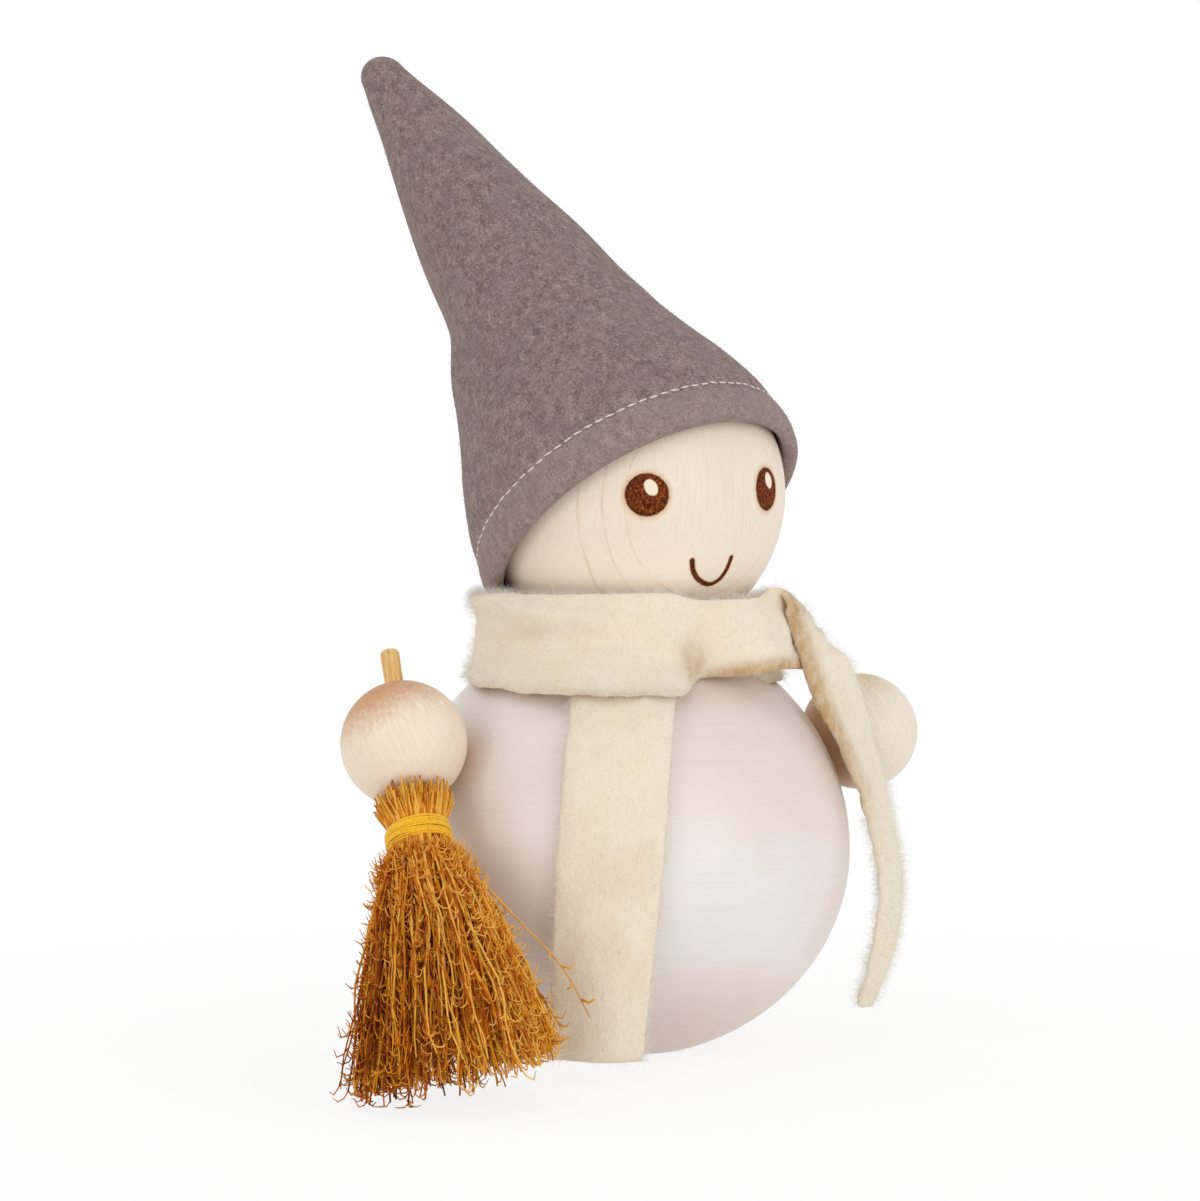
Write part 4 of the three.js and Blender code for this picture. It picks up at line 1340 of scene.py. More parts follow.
@dataclass
class Scarf:
    """One strip of felted wool: front tail, a hidden turn, the loop, the bridge and the side tail."""

    turn: float = -29.0
    width: float = 20.5
    thickness: float = 2.8
    loop_radius: float = 29.3
    loop_base: float = 78.26
    loop_height: float = 15.6
    waist: float = 1.3
    skirt: float = 1.6
    front_spread: float = 6.0
    front_dip: float = 3.5
    tail_lift: float = 3.0
    dimple_depth: float = 1.7
    bulk: float = 1.5
    ridge: float = 2.0
    layer: float = 48.8
    tail_floor: float = 4.5
    tail_end_width: float = 18.5
    tail_skew: float = 4.5
    tail_fold: float = 1.1
    bridge_width: float = 15.5
    side_width: float = 18.0
    side_floor: float = 8.0
    around: int = 44
    fold_middle: tuple[float, float, float] = (34.3, -13.0, 85.9)
    fold_slope: float = 42.0
    fold_lean: float = 20.0
    fold_radius: float = 1.65
    fold_bulge: float = 1.6
    fold_from: int = 250
    fold_rows: int = 150
    hidden_radius: float = 27.5
    hidden_flare: float = 0.6
    hidden_height: float = 82.8
    hidden_half: float = 7.0
    bridge_way: tuple[float, float, float] = (0.55, 0.835, 0.0)
    bridge_rise: float = 7.5
    bridge_cup: float = 0.8
    side_across: tuple[float, float, float] = (0.29, 0.96, 0.0)
    side_taper: float = 0.4
    side_wave: float = 1.2
    side_tuck: float = 0.9
    hand_clear: float = 20.0
    dimple_turn: float = 24.5
    dimple_width: float = 4.6
    dimple_floor: float = 80.0
    dimple_row: int = 230
    uneven: float = 0.5
    uneven_fine: float = 0.22
    ragged_edge: float = 0.022
    pressed_radius: float = 51.0
    tail_rows: int = 58
    crossing_rows: int = 14
    row_turn: int = 2
    loop_from: int = 28
    bridge_from: int = 372
    bridge_to: int = 384
    leave_from: float = 376.0
    leave_to: float = 390.0
    slope: float = field(init=False)
    along: Vector = field(init=False)
    up: Vector = field(init=False)
    out: Vector = field(init=False)
    crease: Vector = field(init=False)
    past: Vector = field(init=False)
    down: Vector = field(init=False)
    over: Vector = field(init=False)
    fold: Vector = field(init=False)
    bridge: Course = field(init=False)
    hang: Course = field(init=False)
    first_run: float = field(init=False)

    def __post_init__(self) -> None:
        """Lays out the fold and the ways of the bridge and the side tail.

        The bridge comes along, with its face out and its upper edge up. It is folded on the crease, and
        past is square to that. The side tail then runs down, with over for the way across it.
        """
        along = Vector(self.bridge_way).normalized()
        flat = along.cross(UP)
        lean = math.radians(self.fold_lean)
        slope = math.radians(self.fold_slope)
        self.slope = slope
        self.along = along
        self.up = UP * math.cos(lean) - flat * math.sin(lean)
        self.out = flat * math.cos(lean) + UP * math.sin(lean)
        self.crease = along * math.cos(slope) - self.up * math.sin(slope)
        self.past = along * math.sin(slope) + self.up * math.cos(slope)
        self.down = along * math.cos(2 * slope) - self.up * math.sin(2 * slope)
        self.over = along * math.sin(2 * slope) + self.up * math.cos(2 * slope)
        self.fold = Vector(self.fold_middle)
        self.bridge = Course(self.bridge_points(), 4)
        self.hang = Course(self.hang_points(), 1)
        self.first_run = self.run_at(26)

    def tail(self, share_up: float) -> Place:
        """Section of the front tail.

        Args:
            share_up: From 0 at its end to 1 under the loop.

        Returns:
            The section.
        """
        equator = BODY_CENTRE.z
        top = math.asin((self.loop_base - 0.5 - equator) / self.layer)
        hang = equator - self.tail_floor
        whole = hang + self.layer * top
        run = share_up * whole
        drop = max(0.0, hang - run)
        angle = max(0.0, run - hang) / self.layer
        drift = -math.tan(math.radians(self.tail_skew)) * (whole - run)
        width = self.width + (self.tail_end_width - self.width) * drop / hang

        def place(share: float, out: float) -> Vector:
            """Point of the section.

            Args:
                share: Place across, from -1 to 1.
                out: Place through the thickness.

            Returns:
                The point.
            """
            fold = self.tail_fold * (drop / hang) * (1 + math.sin(math.pi * (-share + 0.3)))
            reach = self.layer + out + fold
            aside = (-share * width / 2 + drift) / self.layer
            flat = reach * math.cos(aside)
            height = equator - drop + flat * math.sin(angle)
            return Vector((reach * math.sin(aside), -flat * math.cos(angle), height))

        return place

    def inner(self, turn: float) -> Place:
        """Section of the hidden layer under the crossing.

        Args:
            turn: Degrees from the front.

        Returns:
            The section.
        """
        angle = math.radians(turn)

        def place(share: float, out: float) -> Vector:
            """Point of the section, across and out."""
            radius = self.hidden_radius + out + self.hidden_flare * share
            return round_neck(radius, angle, self.hidden_height + share * self.hidden_half)

        return place

    def loop(self, turn: float) -> Place:
        """Section of the band round the neck, with its rolled edge, its ridge and its dip in front.

        Args:
            turn: Degrees from the front.

        Returns:
            The section.
        """
        angle = math.radians(turn)
        ahead = ((1 + math.cos(angle)) / 2) ** 2
        wavy = noise.noise(Vector((1.7 * math.sin(angle), 1.7 * math.cos(angle), 3.0)))
        signed = (turn + 180) % 360 - 180
        over = self.tail_lift * smooth(abs(signed), 34, 17)
        roll = 0.85 - 0.75 * smooth(signed, -80, 20)
        bulk = self.bulk * smooth(signed, -60, 5) * smooth(signed, 40, 26)

        def place(share: float, out: float) -> Vector:
            """Point of the section.

            Args:
                share: Place across, from -1 to 1.
                out: Place through the thickness.

            Returns:
                The point.
            """
            hem = share**2 if share < 0 else 0.0
            front = hem * ahead
            skirt = self.skirt * hem * smooth(out, -1.2, 1.2) + self.front_dip * front
            waist = self.waist * (1 - share**2) * (1 + 0.6 * wavy)
            fold = hump(share - roll, 0.0, 0.3) - 0.5 * hump(share - roll, -0.6, 0.3)
            ridge = smooth(out, -0.6, 1.0) * (self.ridge * ahead * fold + bulk * (1 - share**2))
            radius = self.loop_radius + self.thickness / 2 + out - waist + ridge
            radius += self.front_spread * front + over * hem
            height = self.loop_base + self.loop_height * (1 + share) / 2 - skirt
            height += 0.5 * wavy * max(0.0, share)
            return round_neck(radius, angle, height)

        return place

    def bridge_points(self) -> list[Vector]:
        """Points that the bridge follows to the middle of the fold."""
        middle = self.loop_base + self.bridge_rise

        def on_loop(turn: float, lift: float, height: float) -> Vector:
            """Point beside the loop."""
            return round_neck(self.loop_radius + lift, math.radians(turn), height)

        return [
            on_loop(2, 1.4, middle - 1),
            on_loop(24, 2.4, middle - 1),
            on_loop(45, 5.4, middle - 0.5),
            self.fold - self.along * 9,
            self.fold,
        ]

    def hang_points(self) -> list[Vector]:
        """Points that the side tail follows from above the fold to its end."""
        hand = Matrix.Rotation(math.radians(-self.turn), 3, "Z") @ Side.LEFT.hand()
        start = self.fold + self.past * math.pi * self.fold_radius + self.out * 2 * self.fold_radius

        def by_hand(aside: float, beyond: float, height: float) -> Vector:
            """Point before the left hand."""
            return Vector((hand.x + aside, hand.y - self.hand_clear - beyond, height))

        return [
            start - self.down * 10,
            start,
            start + self.down * 9,
            by_hand(-6.6, 8.0, 72.0),
            by_hand(-2.6, 4.1, 62.5),
            by_hand(1.2, 1.4, 51.8),
            by_hand(4.8, 0.2, 36.2),
            by_hand(4.0, 0.0, 22.0),
            by_hand(-0.8, -0.3, self.side_floor),
        ]

    def side(self, run: float) -> Place:
        """Section of the bridge and the side tail.

        A point is on the bridge before the crease, on the round of the fold just past it, and on the tail
        after half a turn. The bend of the tail is eased in over the round, so that the two meet.

        Args:
            run: Length past the middle of the fold.

        Returns:
            The section.
        """
        centre, along = self.bridge.at(run)
        near = smooth(run, -22, -10)
        across = UP.lerp(self.up, near).normalized()
        outward = along.cross(across).lerp(self.out, near).normalized()
        shift = centre - self.fold - self.along * run
        low, down = self.hang.at(run)
        end = self.hang.lengths[-1]
        over = self.over.lerp(Vector(self.side_across), smooth(run, 6, 55))
        over = (over - down * over.dot(down)).normalized()
        away = down.cross(over)
        width = self.bridge_width + (self.side_width - self.bridge_width) * smooth(run, -5, 25)
        width *= 1 - self.side_taper * smooth(run, end - 12, end)
        cup = self.bridge_cup * smooth(run, -10, -20)
        wave = self.side_wave * smooth(run, 12, 30) * math.sin(4 + 5 * run / end)
        near_tuck = self.side_tuck * smooth(run, 20, 10)
        strayed = low - self.hang.at(0.0)[0] - self.down * run

        def place(aside: float, out: float) -> Vector:
            """Point of the section.

            Args:
                aside: Place across, from -1 to 1.
                out: Place through the thickness.

            Returns:
                The point.
            """
            high = aside * width / 2
            beyond = run * math.sin(self.slope) + high * math.cos(self.slope)
            beside = run * math.cos(self.slope) - high * math.sin(self.slope)
            curl = beyond / self.fold_radius
            if curl <= 0:
                return centre + across * high + outward * (out - cup * (aside**2 - 0.3))
            if curl >= math.pi:
                tuck = wave * (aside**2 - 0.3) + near_tuck * smooth(aside, 0.4, 1.0)
                return low + shift - over * high - away * (out + tuck)
            puff = 1 + self.fold_bulge * smooth(aside, -0.4, 0.6)
            bulge = self.past * (puff * math.sin(curl))
            reach = bulge + self.out * (1 - math.cos(curl))
            face = self.out * math.cos(curl) - self.past * math.sin(curl)
            curled = self.fold + shift + self.crease * beside + reach * self.fold_radius + face * out
            bend = strayed - (over - self.over) * high + (self.out - away) * out
            return curled + bend * ((1 - math.cos(curl)) / 2)

        return place

    def run_at(self, turn: float) -> float:
        """Finds where the bridge comes to a turn.

        Args:
            turn: Degrees from the front.

        Returns:
            The length past the middle of the fold, below 0 on the bridge.
        """
        for (spot, _), length in zip(self.bridge.spots, self.bridge.lengths):
            if math.degrees(math.atan2(spot.x, -spot.y)) >= turn:
                return length
        return 0.0

    def run_of(self, row: int) -> float:
        """Length past the middle of the fold at a row of the strip."""
        whole = self.hang.lengths[-1] - self.first_run
        return self.first_run + whole * (row - self.fold_from) / self.fold_rows

    def blended(self, first: Place, second: Place, share: float) -> Place:
        """Section between two others.

        Args:
            first: One section.
            second: The other.
            share: How much of the second.

        Returns:
            The section.
        """

        def place(aside: float, out: float) -> Vector:
            """Point of the section, across and out."""
            return first(aside, out).lerp(second(aside, out), share)

        return place

    def sections(self) -> list[Place]:
        """Sections of the whole strip, from the end of the front tail to the end of the side tail."""
        made = [self.tail(i / self.tail_rows) for i in range(self.tail_rows + 1)]
        for i in range(1, self.crossing_rows):
            share = smooth(i / self.crossing_rows, 0.0, 1.0)
            made.append(self.blended(self.tail(1.0), self.inner(4 + 22 * share), share))
        for turn in range(self.loop_from, self.bridge_from, self.row_turn):
            made.append(self.blended(self.inner(turn), self.loop(turn), smooth(turn, 44, 84)))
        for turn in range(self.bridge_from, self.bridge_to, self.row_turn):
            made.append(self.leaving(turn, self.run_at(turn - 360)))
        for i in range(self.fold_rows + 1):
            run = self.run_of(self.fold_from + i)
            spot, _ = self.bridge.at(min(run, 0.0))
            turn = 360 + math.degrees(math.atan2(spot.x, -spot.y))
            made.append(self.leaving(turn, run) if turn < self.leave_to else self.side(run))
        return made

    def leaving(self, turn: float, run: float) -> Place:
        """Section where the bridge leaves the loop, at a turn in degrees and its length from the fold."""
        share = smooth(turn, self.leave_from, self.leave_to)
        return self.blended(self.loop(turn), self.side(run), share)

    def build(self) -> bpy.types.Object:
        """Makes the strip from a grid that is rolled into its closed section and laid along its way."""
        sections = self.sections()
        rows = len(sections) - 1
        bm = bmesh.new()
        bmesh.ops.create_grid(bm, x_segments=self.around, y_segments=rows, size=1.0)
        # One layer keeps each point's share of painted ochre shade, the other its weight of loose fibres.
        ochre_shade = bm.verts.layers.float.new("ochre_shade")
        rim = bm.verts.layers.float.new("rim")
        for vert in bm.verts:
            row = round((vert.co.y + 1) / 2 * rows)
            angle = (vert.co.x + 1) * math.pi
            share = math.copysign(abs(math.cos(angle)) ** 0.55, math.cos(angle))
            out = math.copysign(abs(math.sin(angle)) ** 0.7, math.sin(angle)) * self.thickness / 2
            spot = Vector((row * 0.16, share * 1.7, 5.0))
            uneven = self.uneven * noise.noise(spot) + self.uneven_fine * noise.noise(spot * 2.7)
            end = min(row, rows - row) / 2.0
            thin = min(1.0, 0.55 + 0.45 * end)
            ragged = noise.noise(Vector((row * 0.3, math.copysign(4.0, share), 1.0)))
            edge = share * (1 + self.ragged_edge * ragged)
            dimple = self.dimple(row, share, out, sections[row](0.0, 0.0))
            # Painted shade: the dip and the shaded places get a share of ochre.
            vert[ochre_shade] = max(0.75 * dimple, self.shaded(row, share))
            vert[rim] = self.fibred(row, share, out)
            out = out * thin * (1 + 0.25 * uneven) + uneven - self.dimple_depth * dimple
            vert.co = sections[row](edge, out)
        bmesh.ops.remove_doubles(bm, verts=bm.verts, dist=1e-3)
        bmesh.ops.holes_fill(bm, edges=[edge for edge in bm.edges if edge.is_boundary], sides=0)
        bmesh.ops.recalc_face_normals(bm, faces=bm.faces)
        matrix = Matrix.Rotation(math.radians(self.turn), 4, "Z") @ Matrix.Scale(MM, 4)
        piece = finished("scarf_strip", bm, matrix)
        fuzz = self.build_fuzz(piece)
        dress(piece, ScarfWool().make(), "body", "wool", "scarf")
        return piece

    def dimple(self, row: int, share: float, out: float, centre: Vector) -> float:
        """How far a point is in the gathered dip beside the crossing, which is pressed in and also gets
        painted ochre shade.

        Args:
            row: Its row in the strip.
            share: Its place across, from -1 to 1.
            out: Its place through the thickness, above 0 on the face.
            centre: The middle of its row.

        Returns:
            A share from 0 to 1.
        """
        turn = math.degrees(math.atan2(centre.x, -centre.y))
        if row < self.dimple_row or out <= 0 or centre.z < self.dimple_floor:
            return 0.0
        aside = (turn - self.dimple_turn) / self.dimple_width
        return math.exp(-(aside**2) - ((share + 0.75) / 0.5) ** 2)

    def fibred(self, row: int, share: float, out: float) -> float:
        """How many loose fibres stand at a point, most at the edges and on the round of the fold.

        Args:
            row: Its row in the strip.
            share: Its place across, from -1 to 1.
            out: Its place through the thickness, above 0 on the face, which is inside the fold.

        Returns:
            A weight against other points.
        """
        past = self.past_crease(self.run_of(row), share)
        if out > 0 and -4 < past < 14:
            return 0.0
        return max(0.15 + abs(share) ** 4, 0.7 * hump(past, 2.6, 2.2))

    def shaded(self, row: int, share: float) -> float:
        """Share of painted ochre shade under the bridge, in the crease of the fold, along the near edge of
        the side tail and along the lower edge of the band.

        Args:
            row: Row in the strip.
            share: Place across, from -1 to 1.

        Returns:
            A share from 0 to 1.
        """
        run = self.run_of(row)
        start = self.first_run
        under = 0.9 * smooth(-share, 0.5, 0.95) * smooth(run, start - 3, start + 6) * smooth(run, 9, 3)
        face = 0.85 * smooth(share, 0.35, 0.95) * smooth(run, -6, -1) * smooth(run, 60, 16)
        if self.past_crease(run, share) < 0:
            face = 0.6 * smooth(run, -6, -1)
        loop_row = self.tail_rows + self.crossing_rows
        edge = 0.35 * smooth(-share, 0.8, 1.0) if loop_row <= row <= self.fold_from else 0.0
        return max(under, face, edge)

    def past_crease(self, run: float, share: float) -> float:
        """How far a point of the strip is past the start of the fold."""
        return run * math.sin(self.slope) + share * self.bridge_width / 2 * math.cos(self.slope)

    def build_fuzz(self, strip: bpy.types.Object) -> list[bpy.types.Object]:
        """Makes the loose fibres that stand off the wool.

        Args:
            strip: The strip, with its attributes of fibre weight and painted shade.

        Returns:
            Four coats of them, each more upright than the one before.
        """
        wool = ScarfWool("scarf_fibre", "FFFCF6", "FFF9EC", "FAF0DC").make()
        faces = [face for face in strip.data.polygons if self.open_to_air(face)]
        rim = strip.data.attributes["rim"].data
        ochre_shade = strip.data.attributes["ochre_shade"].data
        weights = []
        for face in faces:
            room = [rim[i].value * max(0.05, 1 - 1.6 * ochre_shade[i].value) for i in face.vertices]
            weights.append(face.area * sum(room))
        coats = []
        for seed in range(1, 5):
            name = f"scarf_fuzz_{seed}"
            lift = 0.4 + 0.15 * seed
            fibres = Fuzz(count=9000, shortest=0.8, longest=2.8, lift=lift, radius=0.018)
            coats.append(dress(fibres.build(name, faces, weights, seed), wool, "body", "wool"))
        return coats

    def open_to_air(self, face: bpy.types.MeshPolygon) -> bool:
        """Whether a face has room for fibres, and isn't pressed against the body or the neck."""
        away = face.center / MM - BODY_CENTRE
        outside = away.length > self.pressed_radius or face.normal.dot(away.normalized()) > -0.25
        return outside and len(face.vertices) in (3, 4)


@dataclass
class Broom:
    """The stick, the tied bundle of plant fibre and its thread, in a frame with +Z up the stick."""

    stick_radius: float = 1.9
    stick_top: float = 21.2
    stick_foot: float = -33.1
    tie: float = -21.1
    bundle: float = 5.35
    length: float = 57.4
    fan: float = 6.0
    lean: float = 0.4
    hand_radius: float = 12.5
    strands: int = 215
    strand_spans: int = 12
    outer_share: float = 0.45
    outer_from: float = 4.7
    inner_from: float = 2.4
    widest_top: float = 7.9
    opening: float = 80.0
    sway: float = 2.1
    floor_gap: float = 0.9
    twigs: int = 1750
    twig_floor_gap: float = 0.8
    thread_turns: int = 9
    thread_pitch: float = 0.46
    thread_radius: float = 0.31
    thread_steps: int = 96
    knot_turn: float = 262.0
    stray_end: tuple[float, float, float] = (-35.0, -49.2, 14.6)

    def matrix(self) -> Matrix:
        """Frame of the broom."""
        return aligned(Side.RIGHT.hand(), STICK_AXIS)

    def build_stick(self) -> bpy.types.Object:
        """Makes the stick with a rounded upper end."""
        bevel = self.stick_radius / 3
        outline = [
            (0, self.stick_foot),
            (self.stick_radius, self.stick_foot),
            (self.stick_radius * 1.01, -10.0),
            (self.stick_radius * 0.99, self.hand_radius + 3),
            (self.stick_radius, self.stick_top - bevel),
            (self.stick_radius * 0.9, self.stick_top - bevel * 0.4),
            (self.stick_radius * 0.6, self.stick_top),
            (0, self.stick_top),
        ]
        piece = finished("broom_stick", spun(outline, 40), self.matrix())
        wood = StickWood("stick_wood", Side.RIGHT.hand(), STICK_AXIS)
        return dress(piece, wood.make(), "right_hand", "stick_wood", "broom_handle")

    def polar(self, radius: float, angle: float, height: float) -> Vector:
        """Point at a radius and angle about the stick."""
        return Vector((radius * math.cos(angle), radius * math.sin(angle), height))

    def strand(self, rng: random.Random, quarter: int) -> list[Vector]:
        """One strand from its cut top through the thread to its tip.

        Args:
            rng: Source of its chances.
            quarter: Which quarter of the bundle it is in.

        Returns:
            Its points in metres.
        """
        outermost = rng.random() < self.outer_share
        low = self.outer_from if outermost else self.inner_from
        radius = math.sqrt(rng.uniform(low**2, self.bundle**2))
        angle = math.radians(90 * quarter) + rng.uniform(0.02, math.pi / 2 - 0.02)
        fan = self.fan * rng.uniform(0.8, 1.04)
        if outermost and rng.random() < 0.12:
            fan *= rng.uniform(1.05, 1.25)
        swing = rng.gauss(0, 0.13)
        flare = min(self.widest_top, radius * rng.uniform(1.05, 1.55))
        head = -math.sqrt((self.hand_radius + 0.6) ** 2 - flare**2) - rng.uniform(0.0, 4.2)
        matrix = self.matrix()
        run = [
            matrix @ self.polar(flare, angle + rng.gauss(0, 0.07), head),
            matrix @ self.polar(radius * 1.1, angle, self.tie + 3.2),
            matrix @ self.polar(radius, angle, self.tie),
        ]
        length = self.length * rng.uniform(0.8, 1.0)
        ragged = abs(rng.gauss(0, 2.8))
        seed = rng.uniform(0, 100)
        for i in range(1, self.strand_spans + 1):
            down = length * i / self.strand_spans
            opened = 1 - math.exp(-down / self.opening)
            at = self.polar(radius * (1 + fan * opened), angle + swing * opened, self.tie - down)
            sway = smooth(down, 0.0, 18.0) * self.sway
            at.x += sway * noise.noise(Vector((down * 0.085, seed, 0.3)))
            at.y += sway * noise.noise(Vector((down * 0.085, seed, 7.9)))
            spot = matrix @ at + RIGHTWARD * (self.lean * smooth(down, 0.0, 24.0) * MM)
            aside = at.x * RIGHTWARD.x + at.y * RIGHTWARD.y
            lowest = (self.floor_gap + ragged + max(0.0, 0.45 * aside)) * MM
            if spot.z < lowest:
                above = run[-1].z - lowest
                if above > 0.2 * MM:
                    run.append(run[-1].lerp(spot, above / (run[-1].z - spot.z)))
                break
            run.append(spot)
        return run

    def twig(self, rng: random.Random, strand: Sequence[Vector]) -> list[Vector]:
        """A short hooked twig on a strand.

        Args:
            rng: Source of its chances.
            strand: Points of the strand.

        Returns:
            Its points in metres.
        """
        last = len(strand) - 2
        i = min(last, 2 + int((last - 1) * rng.random()))
        root = strand[i].lerp(strand[i + 1], rng.uniform(0.7 if i == 2 else 0.0, 1.0))
        along = (strand[i + 1] - strand[i]).normalized()
        foot = Side.RIGHT.hand() * MM
        outward = root - foot - STICK_AXIS * (root - foot).dot(STICK_AXIS)
        lean = outward.normalized() * 0.5 + any_way(rng, 1) * 0.8
        side = (lean - along * lean.dot(along)).normalized()
        size = rng.uniform(2.0, 5.6) * MM
        curl = rng.uniform(0.1, 1.4)
        first = root + (along * 0.9 + side * 0.35) * size * 0.4
        second = first + (along * 0.45 + side * 0.8) * size * 0.32
        third = second + (side * 0.8 - along * curl) * size * 0.3
        lowest = self.twig_floor_gap * MM
        return [root] + [Vector((p.x, p.y, max(p.z, lowest))) for p in (first, second, third)]

    def build_strands(self, quarter: int) -> bpy.types.Object:
        """Makes one quarter of the bundle with its twigs.

        Args:
            quarter: Which quarter, from 0 to 3.

        Returns:
            The piece.
        """
        rng = random.Random(40 + quarter)
        runs = []
        radii = []
        for _ in range(self.strands):
            run = self.strand(rng, quarter)
            width = rng.uniform(0.2, 0.33)
            runs.append(run)
            slim = [width * (1.0 - 0.45 * (i / (len(run) - 1)) ** 2) for i in range(len(run))]
            radii.append([width * 0.7, *slim[1:]])
        full = list(runs)
        for _ in range(self.twigs):
            runs.append(self.twig(rng, rng.choice(full)))
            radii.append([0.15, 0.16, 0.14, 0.07])
        if quarter == 3:
            stray = self.stray(rng)
            runs.extend(stray)
            radii.extend([[0.24 - 0.012 * i for i in range(len(run))] for run in stray])
        name = f"broom_strands_{quarter + 1}"
        return linked(name, tubes(name, runs, radii, len(full)))

    def stray(self, rng: random.Random) -> list[list[Vector]]:
        """The one long twig that stands out of the side of the bundle, with its own small twigs.

        Args:
            rng: Source of its chances.

        Returns:
            Points of each in metres.
        """
        start = self.matrix() @ self.polar(9.0, math.radians(300), self.tie - 11)
        end = Vector(self.stray_end) * MM
        run = []
        for i in range(12):
            s = i / 11
            at = start.lerp(end, s)
            at += Vector((0.3, -0.2, 0.9)) * (2.6 * MM * math.sin(math.pi * s))
            at += Vector((1, 0, 0.6)) * (0.4 * MM * math.sin(9 * s + 1))
            run.append(at)
        made = [run]
        for i in (7, 8, 9, 10):
            along = (run[i + 1] - run[i]).normalized()
            side = along.cross(any_way(rng, 1)).normalized()
            size = rng.uniform(1.6, 3.2) * MM
            root = run[i]
            knee = root + (along + side) * size * 0.4
            made.append([root, knee, root + (along * 0.6 + side * 1.3) * size * 0.6])
        return made

    def build_thread(self) -> bpy.types.Object:
        """Makes the wound thread, whose turns lie close, and its upright end."""
        matrix = self.matrix()
        centre = self.bundle + 0.7
        turns = self.thread_turns
        steps = self.thread_steps * turns
        wound = []
        for i in range(steps + 1):
            s = i / steps
            angle = math.tau * turns * s
            radius = centre + 0.1 * math.sin(angle * 1.73) + 0.25 * math.sin(math.pi * s)
            height = self.tie + turns * self.thread_pitch * (s - 0.5) + 0.1 * math.sin(angle * 1.27 + 0.5)
            wound.append(matrix @ self.polar(radius, angle, height))
        knot = math.radians(self.knot_turn)
        spots = [self.polar(centre + 0.6, knot + 0.02 * k, self.tie - 2.0 + k * 0.56) for k in range(8)]
        tail = [matrix @ spot for spot in spots]
        radii = [[self.thread_radius] * len(wound), [0.12] * len(tail)]
        piece = linked("broom_thread", tubes("broom_thread", [wound, tail], radii))
        thread = Thread("tie_thread", "FFCD18", "F0B000").make()
        return dress(piece, thread, "right_hand", "tie_thread", "broom_tie")

    def build(self) -> None:
        """Makes the whole broom."""
        self.build_stick()
        fibre = BroomFibre().make()
        for quarter in range(4):
            piece = self.build_strands(quarter)
            dress(piece, fibre, "right_hand", "bristle_fibre", f"broom_bristles_{quarter + 1}")
        self.build_thread()


@dataclass(frozen=True)
class Lamp:
    """One soft round lamp, in metres to the right in the camera's view, towards the camera and up."""

    name: str
    right: float
    near: float
    up: float
    size: float
    power: float
    colour: str
    aim: float = 0.09

    def build(self) -> None:
        """Makes the lamp, pointing at the middle of the figure."""
        data = bpy.data.lights.new(self.name, "AREA")
        data.shape = "DISK"
        data.size = self.size
        data.energy = self.power
        data.color = linear(self.colour)[:3]
        place = RIGHTWARD * self.right + TOWARD_CAMERA * self.near + UP * self.up
        lamp = bpy.data.objects.new(self.name, data)
        lamp.location = place
        lamp.rotation_euler = (place - UP * self.aim).to_track_quat("Z", "Y").to_euler()
        bpy.context.scene.collection.objects.link(lamp)


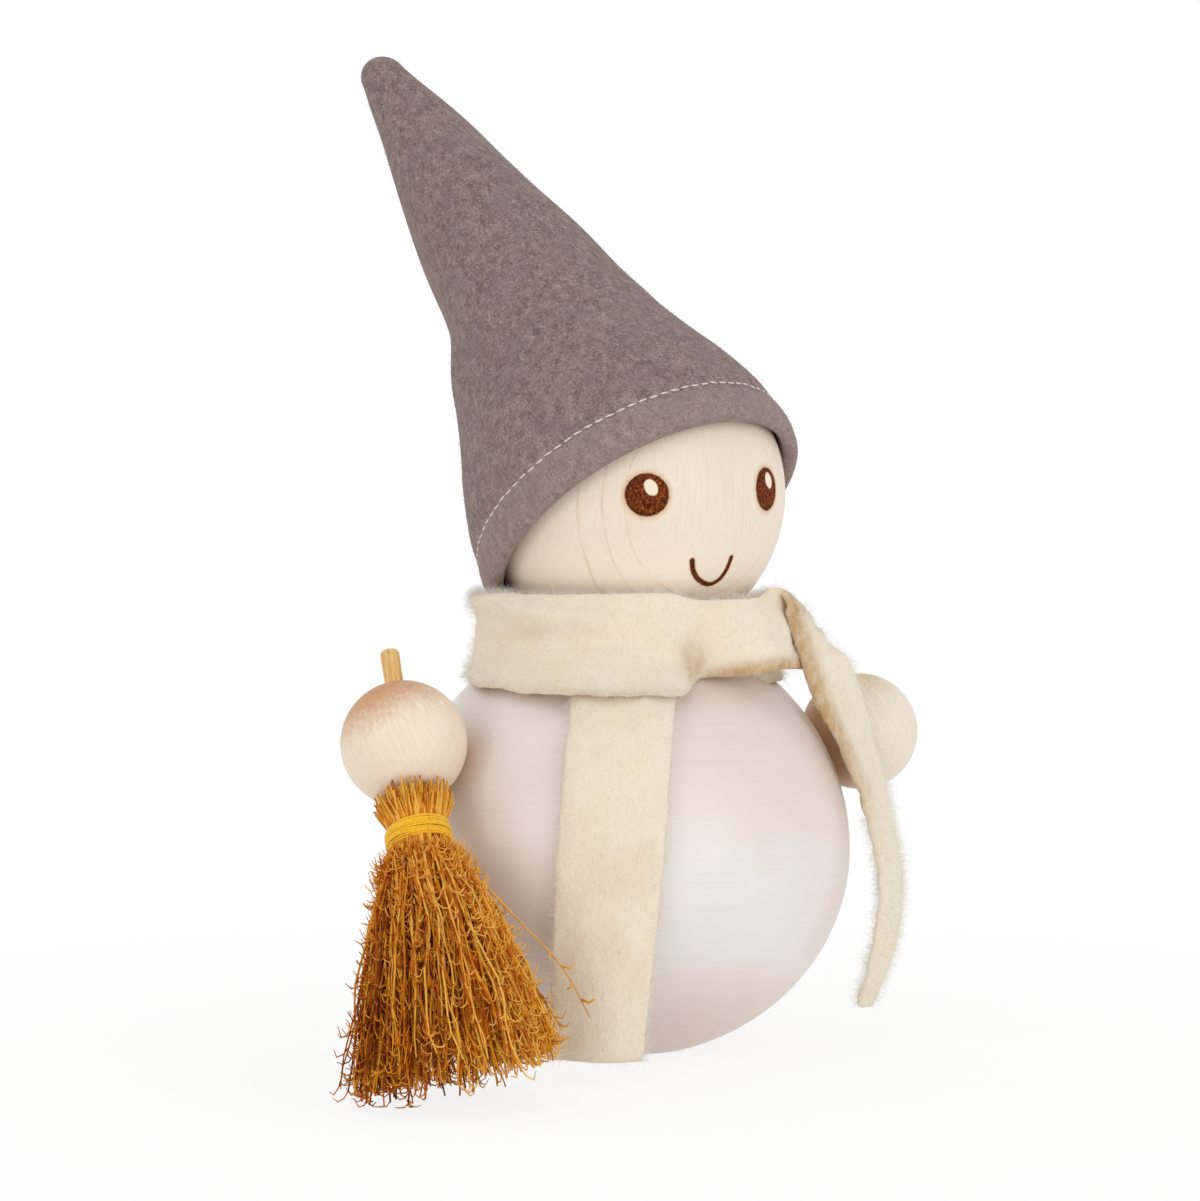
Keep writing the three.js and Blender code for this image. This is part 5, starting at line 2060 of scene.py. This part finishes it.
@dataclass
class Studio:
    """Pale floor, soft lamps and the camera of the photograph."""

    camera_place: tuple[float, float, float] = (-0.28314, -0.50048, 0.0925)
    camera_turn: float = -29.0
    lens: float = 82.5
    sensor: float = 36.0
    world: float = 0.74
    floor_half: float = 3.0
    floor_drop: float = 0.0002
    white_share: float = 0.86
    glow_share: float = 0.26
    shadow_radius: float = 60.0
    clear_radius: float = 260.0
    lamps: tuple[Lamp, ...] = (
        Lamp("key", 0.42, 0.62, 0.42, 0.5, 0.66, "FFFCF8"),
        Lamp("front", 0.55, 0.62, 0.04, 0.4, 0.95, "FFFBF6"),
        Lamp("fill", -0.55, 0.6, 0.25, 0.3, 0.72, "FFECDC"),
        Lamp("top", 0.0, -0.25, 0.95, 0.6, 0.42, "FFFFFF"),
    )

    def build_camera(self) -> None:
        """Makes the camera."""
        data = bpy.data.cameras.new("camera")
        data.lens = self.lens
        data.sensor_width = self.sensor
        camera = bpy.data.objects.new("camera", data)
        camera.location = self.camera_place
        camera.rotation_euler = (math.pi / 2, 0, math.radians(self.camera_turn))
        bpy.context.scene.collection.objects.link(camera)
        bpy.context.scene.camera = camera

    def build_floor(self) -> None:
        """Makes the lit floor, which the camera sees paler than it is and which keeps the shadow."""
        bm = bmesh.new()
        bmesh.ops.create_grid(bm, x_segments=2, y_segments=2, size=self.floor_half)
        floor = finished("floor", bm, Matrix.Translation((0, 0, -self.floor_drop)))
        graph = Graph("floor_white")
        speckle = graph.noise(graph.place(), 0.02, 2.0)
        graph.set(Base_Color=graph.ramp(speckle, (0.3, "F4F3F1"), (0.7, "F8F7F5")), Roughness=0.9)
        glow = graph.node("ShaderNodeEmission")
        away = graph.vector("LENGTH", graph.place())
        share = graph.step(away, self.shadow_radius, self.clear_radius, self.white_share, 1.0)
        share = graph.sum("MULTIPLY", self.seen(graph.tree), share)
        share = graph.sum("MAXIMUM", share, self.glow_share)
        blend = graph.node("ShaderNodeMixShader")
        graph.fill(blend, (share, graph.shader.outputs[0], glow.outputs[0]))
        graph.plug(graph.output.inputs["Surface"], blend.outputs[0])
        floor.data.materials.append(graph.material)

    def seen(self, tree: bpy.types.NodeTree) -> Socket:
        """Wires which rays see a white ground.

        Args:
            tree: Nodes of the floor or the world.

        Returns:
            1 for rays from the camera, off gloss and through glass.
        """
        path = tree.nodes.new("ShaderNodeLightPath").outputs
        either = path["Is Camera Ray"]
        for ray in ("Is Glossy Ray", "Is Transmission Ray"):
            larger = tree.nodes.new("ShaderNodeMath")
            larger.operation = "MAXIMUM"
            tree.links.new(either, larger.inputs[0])
            tree.links.new(path[ray], larger.inputs[1])
            either = larger.outputs[0]
        return either

    def build_world(self) -> None:
        """Makes the even light from all round, white where the camera sees it."""
        world = bpy.data.worlds.new("studio")
        world.use_nodes = True
        tree = world.node_tree
        background = tree.nodes["Background"]
        background.inputs["Color"].default_value = linear("FFFFFF")
        strength = tree.nodes.new("ShaderNodeMapRange")
        strength.inputs["To Min"].default_value = self.world
        strength.inputs["To Max"].default_value = 1.0
        tree.links.new(self.seen(tree), strength.inputs["Value"])
        tree.links.new(strength.outputs[0], background.inputs["Strength"])
        bpy.context.scene.world = world

    def build(self) -> None:
        """Makes the whole studio."""
        self.build_camera()
        self.build_floor()
        self.build_world()
        for lamp in self.lamps:
            lamp.build()
        bpy.context.scene.view_settings.view_transform = "Standard"


def main() -> None:
    """Builds the figure and its studio in order."""
    logging.basicConfig(level=logging.INFO, format="%(message)s")
    Studio().build()
    body = Body()
    body.build()
    body.dress_dowels()
    Head().build()
    hands = Hands()
    hands.build_left()
    hands.build_right()
    Hat().build()
    Scarf().build()
    Broom().build()


if __name__ == "__main__":
    main()
